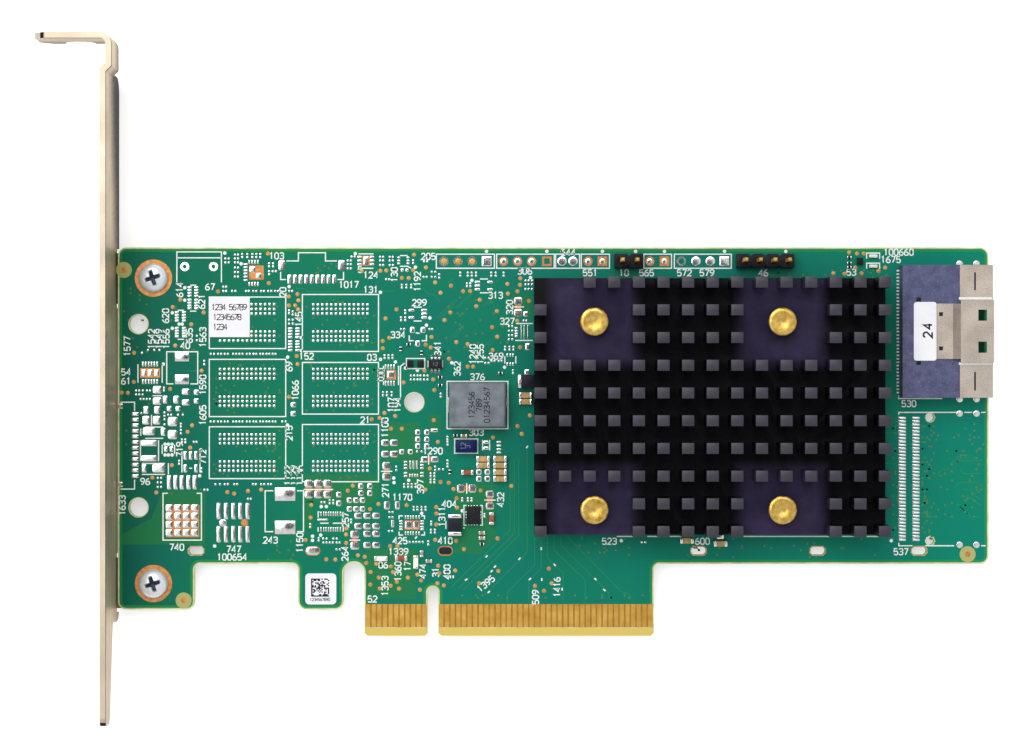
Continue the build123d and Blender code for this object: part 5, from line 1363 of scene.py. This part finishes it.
MEMORY = ((-39.65, -26.1, 50.96, 60.1), (-39.65, -26.1, 38.9, 49.05), (-39.65, -26.1, 27.9, 37.1),
          (-23.15, -9.65, 50.45, 60.55), (-23.15, -9.65, 39.35, 48.5), (-23.15, -9.65, 27.35, 37.5))
lines = [frame_points(*corners) for corners in MEMORY]
lines += [frame_points(left, right, 65.2, 67.7) for left, right in ((0.6, 10.9), (11.3, 21.5), (21.75, 26.0),
                                                                 (26.3, 31.3), (37.4, 42.3), (42.8, 52.9))]
lines += [frame_points(*corners) for corners in ((3.85, 7.95, 32.4, 34.95), (-4.7, -1.45, 47.4, 49.2))]
lines += [frame_points(2.5, 13.3, 36.75, 45.15)]
lines += [
    [(-45.4, 62.7), (-45.4, 68.1), (-37.5, 68.1), (-37.5, 62.7)], [(-45.4, 67.05), (-37.5, 67.05)],
    [(-26.0, 66.5), (-23.85, 66.5), (-23.85, 67.95), (-19.05, 67.95), (-19.05, 66.5), (-17.0, 66.5)],
    [(-27.0, 64.55), (-27.0, 63.2), (-26.05, 63.2)], [(-15.85, 64.55), (-15.85, 63.2), (-16.95, 63.2)],
    [(-13.2, 67.75), (-10.55, 67.75)], [(-13.2, 65.2), (-10.55, 65.2)],
    [(-5.85, 67.45), (-4.5, 67.45)], [(-5.85, 65.55), (-4.5, 65.55), (-3.9, 65.2)],
    [(8.35, 63.3), (9.75, 63.3)], [(8.35, 60.85), (9.75, 60.85)],
    [(-3.4, 58.3), (-2.0, 58.3)], [(-3.4, 55.85), (-2.0, 55.85)],
    [(-4.2, 53.3), (-4.2, 52.35), (-3.4, 52.35)], [(-1.15, 53.4), (-1.15, 52.35), (-2.0, 52.35)],
    [(-3.05, 53.75), (-2.35, 53.65)], [(14.75, 55.4), (17.7, 55.4)], [(14.6, 52.4), (17.7, 52.4)],
    [(12.75, 48.3), (12.75, 49.6)], [(14.7, 48.3), (14.7, 49.6)],
    [(-5.0, 48.4), (-5.75, 47.8), (-5.75, 42.3)], [(-0.85, 47.65), (-0.85, 48.85)],
    [(1.7, 47.65), (1.7, 48.85)], [(-8.75, 44.5), (-8.75, 47.9)], [(-6.1, 44.5), (-6.1, 47.9)],
    [(14.2, 58.35), (16.15, 58.35)], [(6.0, 25.2), (6.0, 27.1)], [(9.1, 24.1), (11.1, 24.1)],
    [(-9.2, 29.2), (-7.2, 29.2)], [(-14.8, 17.0), (-12.9, 17.0)], [(-0.75, 30.4), (-0.75, 32.3)],
    [(-22.9, 25.97), (-17.7, 25.97)], [(-20.0, 20.0), (-18.5, 20.0)], [(-17.75, 20.0), (-15.85, 20.0)],
    [(-20.35, 21.0), (-20.35, 22.0), (-20.1, 22.0)], [(-20.35, 18.5), (-20.35, 19.3)],
    [(-15.9, 18.5), (-15.9, 19.3)], [(-15.9, 21.0), (-15.9, 22.0)],
    [(-28.3, 25.75), (-29.75, 25.75), (-29.75, 18.5), (-28.3, 18.5)],
    [(-24.1, 25.75), (-22.95, 25.75), (-22.95, 18.5), (-24.1, 18.5)],
    [(-6.0, 20.7), (-6.0, 21.3), (-5.3, 21.3)], [(-2.1, 21.3), (-1.5, 21.3), (-1.5, 20.7)],
    [(-6.0, 18.5), (-6.0, 17.9), (-5.3, 17.9)], [(-2.1, 17.9), (-1.5, 17.9), (-1.5, 18.5)],
    [(5.95, 23.15), (5.5, 23.15), (5.5, 19.65), (5.95, 19.65)],
    [(8.35, 23.15), (8.75, 23.15), (8.75, 19.65), (8.35, 19.65)],
    [(2.3, 19.0), (2.3, 20.4)], [(5.5, 19.0), (5.5, 19.3)],
    [(8.8, 34.75), (8.8, 32.9)], [(10.05, 34.75), (10.05, 32.9)],
    [(-44.75, 50.4), (-47.2, 50.4), (-47.2, 44.7), (-46.0, 44.7)],
    [(-44.25, 50.4), (-41.7, 50.4), (-41.7, 44.7), (-43.0, 44.7)],
    [(-43.05, 62.2), (-41.95, 62.2)], [(-43.05, 57.6), (-41.95, 57.6)], [(-45.25, 57.75), (-44.15, 57.75)],
    [(-45.25, 52.6), (-44.15, 52.6)], [(-52.3, 44.9), (-52.3, 48.2)], [(-48.0, 44.9), (-48.0, 48.2)],
    [(-48.0, 32.3), (-48.0, 33.9)], [(-45.8, 32.3), (-45.8, 33.9)], [(-49.7, 42.6), (-48.0, 42.6)],
    [(-49.9, 37.3), (-49.9, 39.2)], [(-51.0, 37.05), (-47.8, 37.05)], [(-51.0, 35.05), (-47.8, 35.05)],
    [(-51.8, 35.5), (-51.8, 36.8)], [(-51.85, 31.0), (-51.85, 34.7)], [(-48.65, 31.0), (-48.65, 34.7)],
    [(-51.6, 30.6), (-47.5, 30.6)], [(-51.6, 28.65), (-47.5, 28.65)], [(-46.9, 28.65), (-46.9, 30.65)],
    [(-44.5, 29.0), (-44.5, 32.7)], [(-41.3, 29.0), (-41.3, 32.7)], [(-43.2, 29.75), (-42.7, 29.75)],
    [(-55.4, 41.45), (-52.9, 41.45), (-52.9, 39.9)], [(-55.4, 26.05), (-52.9, 26.05), (-52.9, 27.7)],
    [(-47.0, 25.3), (-47.85, 25.3), (-47.85, 17.0), (-41.05, 17.0), (-41.05, 25.3), (-41.9, 25.3)],
    [(92.8, 39.65), (82.6, 39.65), (82.6, 39.2)], [(94.2, 39.65), (95.6, 39.65)],
    [(97.2, 39.65), (98.0, 39.65)], [(82.6, 16.5), (82.6, 16.0), (85.0, 16.0)],
    [(87.3, 16.0), (92.4, 16.0)], [(97.2, 16.0), (98.0, 16.0)],
    [(82.6, 42.75), (82.6, 42.1), (90.3, 42.1)],
    [(32.6, 17.65), (35.8, 17.65)], [(38.0, 17.65), (46.0, 17.65)], [(54.0, 17.65), (79.6, 17.65)],
    [(76.9, 65.1), (76.9, 66.1), (79.2, 66.1), (79.2, 65.1)],
    [(76.9, 66.9), (76.9, 67.9), (79.2, 67.9), (79.2, 66.9)],
]
LINE_WIDTH = 0.2
ink = bmesh.new()
for points in lines:
    stroke(ink, points, LINE_WIDTH, INK_LOW, INK_HIGH)
print(len(lines), "printed outlines")

# %% [markdown]
# ### Dots and marks
# A dot stands beside the first leg of a part, and a short mark beside a test point.

# %% Dots and short marks of print
INK_DOTS = (
    (-36.9, 67.9), (-44.0, 61.75), (-44.0, 59.55), (-46.2, 57.3), (-46.2, 54.55), (-34.0, 66.0),
    (-47.8, 48.2), (-41.15, 33.0), (-41.35, 28.4), (-38.7, 15.95), (-25.5, 61.95), (-23.3, 52.9),
    (-23.3, 50.6), (-13.75, 67.8), (-9.3, 60.95), (-25.75, 49.45), (-9.3, 49.05), (-6.65, 48.6),
    (-25.8, 37.4), (-19.9, 17.9), (-21.35, 17.7), (-21.35, 16.95), (-6.95, 28.0), (-6.9, 27.2),
    (-19.8, 22.95), (-18.9, 22.95), (-3.1, 65.4), (6.9, 63.05), (-0.55, 56.4), (-1.15, 55.1),
    (17.3, 63.55), (9.5, 68.2), (20.2, 68.2), (22.9, 68.2), (30.05, 68.2), (35.94, 68.2), (41.05, 68.2),
    (51.7, 68.2), (62.57, 68.2), (-4.85, 47.5), (-2.75, 47.1), (3.35, 48.45), (12.7, 47.65), (-4.3, 27.6),
    (-2.0, 21.75), (5.2, 22.2), (33.4, 16.9), (81.25, 16.9), (-47.5, 34.0), (-46.9, 34.0), (-46.25, 34.0),
    (-47.5, 32.1), (-46.9, 32.1), (-46.25, 32.1), (-45.0, 55.3), (-44.45, 55.3), (-8.9, 37.9),
)
INK_DOT = 0.31
for x, y in INK_DOTS:
    prism(ink, round_outline(x, y, INK_DOT, 12), INK_LOW, INK_HIGH)
MARK_HALF = 0.25
MARK_WIDTH = 0.26
MARKS = (
    # Place and turn of short marks beside traces
    (9.5, 14.1, 50), (15.35, 13.7, 50), (5.9, 10.0, 30), (10.4, 11.5, 50), (9.9, 7.8, 40), (19.2, 15.5, 90),
    (17.2, 10.1, 40), (21.6, 12.6, -50), (28.8, 10.1, -40), (30.4, 8.15, -40), (22.9, 8.3, 90),
    (16.7, 33.5, 50), (-3.0, 17.45, 50), (11.0, 12.3, 45), (19.3, 10.0, 90), (3.6, 10.5, 90), (3.1, 10.5, 90),
)
for x, y, turn in MARKS:
    dx = MARK_HALF * math.cos(math.radians(turn))
    dy = MARK_HALF * math.sin(math.radians(turn))
    stroke(ink, [(x - dx, y - dy), (x + dx, y + dy)], MARK_WIDTH, INK_LOW, INK_HIGH)
piece("printed_outlines", ink, "ink")

# %% [markdown]
# ## What shows through the lacquer
# Power areas are copper poured over the board; where it is missing, the laminate makes the
# green duller and warmer. Traces and the small plugged holes show as faint olive lines and
# dots. They are raised by hundredths of a millimetre, as they are on the real board.

# %% Areas without a plane
FIELD_HIGH = 0.006
fields = bmesh.new()
for outline in (
    ((-55.2, 16.2), (-40.4, 16.2), (-40.4, 25.9), (-47.9, 25.9), (-49.9, 20.9), (-55.2, 18.0)),
    ((-0.7, 35.7), (1.4, 35.7), (1.4, 39.3), (-0.7, 39.3)),
    ((-8.3, 31.0), (-2.3, 31.0), (-2.3, 37.9), (-8.3, 37.9)),
    ((3.9, 14.6), (8.4, 14.5), (11.0, 17.0), (11.0, 26.9), (3.9, 26.9)),
    ((-22.9, 23.9), (-12.0, 22.6), (-9.7, 24.5), (-9.7, 28.6), (-22.9, 28.6)),
    ((-22.9, 19.0), (-21.2, 19.0), (-21.2, 23.9), (-22.9, 23.9)),
    ((-4.0, 26.0), (0.6, 26.0), (0.6, 29.2), (-1.5, 31.0), (-5.3, 31.0), (-5.3, 28.0)),
    ((14.0, 56.7), (17.6, 56.7), (17.6, 60.4), (14.0, 60.4)),
    ((-11.9, 6.6), (-3.0, 6.6), (-3.0, 15.4), (-11.9, 15.4)),
):
    prism(fields, outline, 0.0, FIELD_HIGH)
piece("lacquer_fields", fields, "mask_pour")

# %% [markdown]
# ### Traces
# A trace shows as a faint ridge under the lacquer. These run in the directions that show on the
# object, level, upright or at half a right angle.

# %% Traces
TRACE_WIDTH = 0.16
FINE_WIDTH = 0.13
TRACE_HIGH = 0.012
TRACES = (
    [(16.7, 33.0), (16.7, 14.8), (11.0, 9.1), (9.2, 7.2)],
    [(18.05, 17.6), (18.05, 12.6), (13.2, 7.8), (13.2, 6.0)],
    [(19.2, 17.6), (19.2, 12.0), (17.0, 9.8), (17.0, 6.0)],
    [(20.3, 17.8), (20.3, 13.8), (23.1, 11.2), (23.1, 6.2)],
    [(21.5, 17.8), (21.5, 15.2), (27.0, 9.9), (27.0, 6.2)],
    [(22.7, 17.8), (22.7, 16.1), (31.2, 7.6), (31.3, 6.6)],
    [(23.6, 17.9), (33.3, 7.9), (34.6, 7.5), (35.2, 6.6)],
    [(15.2, 31.5), (15.2, 17.8), (8.0, 10.6), (5.4, 8.2)],
    [(13.7, 31.0), (13.7, 18.8), (6.0, 11.4), (3.2, 8.6)],
    [(14.4, 31.4), (14.4, 18.2), (7.2, 11.0), (4.4, 8.4)],
    [(92.0, 30.5), (93.3, 32.1), (95.6, 32.1)], [(92.6, 30.6), (93.6, 31.6), (96.4, 31.6)],
    [(92.8, 30.9), (93.4, 31.1), (97.4, 31.1)], [(93.4, 29.6), (94.2, 28.8), (97.3, 28.8)],
    [(92.4, 26.3), (93.3, 27.2), (96.8, 27.2), (97.6, 26.4)], [(93.8, 26.0), (95.2, 26.0), (97.0, 24.2)],
    [(94.6, 25.0), (97.2, 23.1)], [(92.8, 23.6), (95.4, 21.1), (97.0, 21.1)], [(93.4, 23.0), (94.8, 21.6)],
    [(89.4, 28.6), (90.4, 29.6), (91.6, 29.6)], [(86.4, 21.2), (89.4, 21.2)], [(86.4, 21.8), (88.4, 21.8)],
    [(-24.4, 61.6), (-22.7, 61.6), (-22.2, 61.1), (-7.0, 61.1)], [(-43.7, 47.05), (-41.3, 47.05)],
    [(-1.8, 61.6), (-0.8, 60.6), (0.2, 60.5), (1.2, 59.3)], [(79.7, 38.6), (82.2, 38.6)],
    [(79.7, 30.6), (82.2, 30.6)], [(79.7, 36.0), (82.2, 36.0)],
)
DIAGONALS = ((0.6, 56.4, 3.4), (0.9, 56.2, 3.4), (1.4, 56.2, 2.4), (4.0, 58.1, 2.6), (4.3, 58.0, 2.8),
             (8.6, 58.4, 2.6), (8.9, 58.2, 2.9), (3.0, 52.8, 2.0), (3.4, 52.6, 2.2), (9.2, 51.4, 2.4),
             (9.6, 51.2, 2.4), (2.6, 62.5, 0.9), (5.0, 56.8, 0.8), (10.4, 62.0, 2.2))
lines = bmesh.new()
for points in TRACES:
    stroke(lines, points, TRACE_WIDTH, 0.0, TRACE_HIGH)
for x, y, reach in DIAGONALS:
    stroke(lines, [(x, y), (x + reach, y + reach)], FINE_WIDTH, 0.0, TRACE_HIGH)
piece("traces_under_lacquer", lines, "trace_faint")

# %% [markdown]
# ### Plugged holes
# Small holes that join the copper layers stand on a grid and are plugged with lacquer. A seeded
# draw picks grid points within areas, so that each run gives the same board.

# %% Plugged holes on their grid, and the alignment discs
HOLE_GRID = 0.4
PLUG_RADIUS = 0.19
PLUG_HIGH = 0.016
HOLE_AREAS = (
    # Left, right, low, high and how many plugged holes
    (-39.0, -27.0, 51.5, 59.6, 30), (-39.0, -27.0, 39.5, 48.5, 34), (-39.0, -27.0, 28.4, 36.6, 34),
    (-22.5, -10.2, 51.0, 60.0, 44), (-22.5, -10.2, 40.0, 48.0, 44), (-22.5, -10.2, 28.0, 37.0, 44),
    (-55.0, -41.0, 24.0, 62.0, 40), (-21.0, -16.5, 64.2, 66.2, 8), (0.0, 14.0, 50.0, 60.0, 34),
    (86.6, 88.4, 17.0, 38.0, 60), (81.4, 82.4, 17.0, 38.5, 22), (88.6, 97.8, 20.0, 38.0, 60),
    (20.0, 38.0, 6.6, 7.2, 10), (24.0, 36.0, 14.5, 17.8, 14), (40.0, 80.0, 14.0, 17.4, 26),
    (-30.0, -24.0, 13.5, 18.0, 8), (4.0, 14.0, 6.7, 7.2, 6), (60.0, 82.0, 63.6, 64.8, 20),
)
chance = random.Random(4)
plugs = bmesh.new()
for left, right, low, high, count in HOLE_AREAS:
    for i in range(count):
        x = round(chance.uniform(left, right) / HOLE_GRID) * HOLE_GRID
        y = round(chance.uniform(low, high) / HOLE_GRID) * HOLE_GRID
        prism(plugs, round_outline(x, y, PLUG_RADIUS, 8), 0.0, PLUG_HIGH)
        prism(plugs, round_outline(x, y, PLUG_RADIUS, 8), BOARD_BACK - PLUG_HIGH, BOARD_BACK)
piece("plugged_holes", plugs, "trace_olive")
discs = bmesh.new()
for x, y in ALIGNMENT:
    ring(discs, x, y, 1.42, 0.5, 0.0, PLUG_HIGH, 32)
piece("alignment_discs", discs, "disc")

# %% [markdown]
# ## Print on the stickers and parts
# The stickers carry generic digits and a pattern of squares. The inductor and the modules have a
# few grey digits of their own.

# %% Stickers with rounded corners
def top_of(node):
    """The height of a node's top in millimetres."""
    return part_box(node)[1].z / MM


for node, corner in (("hook_label", 0.7), ("port_label", 0.5), ("board_label", 0.12)):
    low, high = (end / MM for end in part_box(node))
    bm = bmesh.new()
    outline = box_outline((low.x + high.x) / 2, (low.y + high.y) / 2, high.x - low.x, high.y - low.y,
                          corner, 6)
    prism(bm, outline, low.z, high.z)
    piece(node + "_cut", bm, "paper", (node,))

# %% [markdown]
# ### Digits on stickers and parts
# Printed film has a thickness of some hundredths of a millimetre. The digits are thin solids on
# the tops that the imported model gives, so they stay on them if a height changes.

# %% Digits on stickers and parts
STICKER_DIGIT = 0.98
STICKER_PITCH = 0.62
FILM = 0.012
PART_FILM = 0.01

prints = bmesh.new()
sticker_low, sticker_high = (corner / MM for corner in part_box("board_label"))
sticker_x = (sticker_low.x + sticker_high.x) / 2
sticker_y = (sticker_low.y + sticker_high.y) / 2
for text, dx, dy in (("1234 56789", 0.0, 1.75), ("12345678", -0.35, 0.0), ("1234", -1.6, -1.75)):
    for i, digit in enumerate(text):
        if digit != " ":
            x = sticker_x + dx + (i - len(text) / 2 + 0.5) * STICKER_PITCH
            number(prints, digit, x, sticker_y + dy, LEVEL, STICKER_DIGIT, 0.15, sticker_high.z,
                   sticker_high.z + FILM)
port_z = top_of("port_label")
for text, dx, dy in (("4", 0.0, 0.75), ("2", 0.0, -0.75)):
    number(prints, text, 87.0, 54.1 + dy, UP, 1.5, 0.3, port_z, port_z + FILM)
inductor_z = top_of("power_inductor_core")
for text, x in (("123456", 6.9), ("789", 8.2), ("01234567", 9.6)):
    number(prints, text, x, 41.0, UP, 0.95, 0.14, inductor_z, inductor_z + PART_FILM)
piece("sticker_print", prints, "dark_ink_and_painted_shade")

# %% [markdown]
# ### A pattern of squares
# The hook's sticker has a square grid of dark cells. Two sides are full and two are dashed, and
# the inner cells come from the same seeded draw, so they say nothing.

# %% A square pattern that says nothing, and pale digits
matrix = bmesh.new()
hook_low, hook_high = (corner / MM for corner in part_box("hook_label"))
CELL = 0.23
CELLS = 14
matrix_x = (hook_low.x + hook_high.x) / 2 - CELL * CELLS / 2
matrix_y = (hook_low.y + hook_high.y) / 2 - CELL * CELLS / 2 + 0.35
for i in range(CELLS):
    for j in range(CELLS):
        edge = i == 0 or j == 0 or (i == CELLS - 1 and j % 2 == 0) or (j == CELLS - 1 and i % 2 == 0)
        if edge or chance.random() < 0.48:
            prism(matrix, box_outline(matrix_x + i * CELL, matrix_y + j * CELL, CELL, CELL), hook_high.z,
                  hook_high.z + FILM)
for i, digit in enumerate("1234567890"):
    number(matrix, digit, matrix_x - 0.15 + 0.36 * i, matrix_y - 0.62, LEVEL, 0.5, 0.09, hook_high.z,
           hook_high.z + FILM)
piece("square_code", matrix, "dark_ink_and_painted_shade")

pale = bmesh.new()
module_z = top_of("power_module")
for x, y, text in ((5.4, 33.7, "12"), (6.2, 33.6, "3")):
    number(pale, text, x, y, UP, 0.8, 0.12, module_z, module_z + PART_FILM)
chip_z = top_of("six_leg_chip_body")
number(pale, "12", 0.45, 48.2, LEVEL, 0.6, 0.09, chip_z, chip_z + PART_FILM)
piece("pale_part_print", pale, "ferrite")

# %% [markdown]
# ## The port's marks and the back of the board
# The moulding has two gate pits, the flap two openings and the shell two pressed slits, and all
# are painted dark, as painted shade. Painted highlights run along the shell's two folds, and the
# board inside the port carries painted shade. Behind the board the pins end in cones of solder,
# and small capacitors stand under the controller chip, as on other such cards.

# %% Painted shade in pits, slits and openings, and painted highlights on the folds of the port
painted_shade_marks = bmesh.new()
housing_z = top_of("port_housing")
SHELL_HIGH = 5.6
# Painted shade: dark discs in the two gate pits.
for y in (59.6, 48.6):
    prism(painted_shade_marks, round_outline(85.3, y, 0.3, 16), housing_z, housing_z + 0.01)
# Painted shade: dark strokes in the two pressed slits.
for low, high in ((61.15, 64.3), (43.55, 46.8)):
    stroke(painted_shade_marks, [(95.25, low), (95.25, high)], 0.3, SHELL_HIGH, SHELL_HIGH + 0.01)
# Painted shade: dark squares in the flap's two openings.
for y in (56.97, 51.02):
    prism(painted_shade_marks, box_outline(89.1, y, 0.85, 0.85), housing_z, housing_z + 0.02)
piece("painted_shade_in_pits_and_slits", painted_shade_marks, "dark_ink_and_painted_shade")

# A dark sheet of lacquer inside the port is painted shade.
shade = bmesh.new()
prism(shade, box_outline(95.5, 54.0, 4.6, 9.6), 0.0, 0.012)
piece("painted_shade_inside_the_port", shade, "mask_painted_shade")
# Painted highlights: thin bright strokes along the shell's two folds.
fold_highlights = bmesh.new()
for y in (59.72, 48.28):
    stroke(fold_highlights, [(92.4, y), (98.2, y)], 0.42, SHELL_HIGH, SHELL_HIGH + 0.12)
piece("painted_fold_highlights", fold_highlights, "comb")

# %% [markdown]
# ### The back of the board
# Molten solder climbs a pin and sets as a cone, which is a revolved profile. A small capacitor is
# a ceramic body between two tinned ends.

# %% Solder cones and rear capacitors
cones = bmesh.new()
for x in FITTED_PINS:
    turned(cones, x, HEADER_Y, ((0.4, BOARD_BACK - 0.95), (0.5, BOARD_BACK - 0.45), (0.9, BOARD_BACK)), 24)
piece("solder_cones", cones, "solder", smooth=60)

REAR_XS = (39.4, 42.4, 45.4, 48.4)
REAR_YS = (34.2, 37.4, 40.6, 43.8)
REAR_BODY = (0.7, 0.5)
REAR_END = (0.26, 0.54)
REAR_REACH = 0.42
rear_bodies = bmesh.new()
rear_ends = bmesh.new()
for x in REAR_XS:
    for y in REAR_YS:
        prism(rear_bodies, box_outline(x, y, *REAR_BODY), BOARD_BACK - 0.5, BOARD_BACK)
        for side in (-1, 1):
            outline = box_outline(x + side * REAR_REACH, y, *REAR_END, 0.06)
            prism(rear_ends, outline, BOARD_BACK - 0.52, BOARD_BACK)
piece("rear_capacitor_bodies", rear_bodies, "tan")
piece("rear_capacitor_ends", rear_ends, "solder")

# %% [markdown]
# ## Edge contacts
# The gold fingers stand on bare laminate, brown with a painted reflection of the gold, and their
# lower ends stop short of the bevel.

# %% The ground between the gold fingers
FINGER_MIDDLE = 3.6
FINGER_LENGTH = 4.1
GROUND_HIGH = 0.012
ground = bmesh.new()
for left, right in ((-11.95, -1.1), (1.1, 38.95)):
    outline = box_outline((left + right) / 2, FINGER_MIDDLE, right - left, FINGER_LENGTH)
    prism(ground, outline, 0.0, GROUND_HIGH)
    prism(ground, outline, BOARD_BACK - GROUND_HIGH, BOARD_BACK)
piece("contact_ground", ground, "contact_gap")
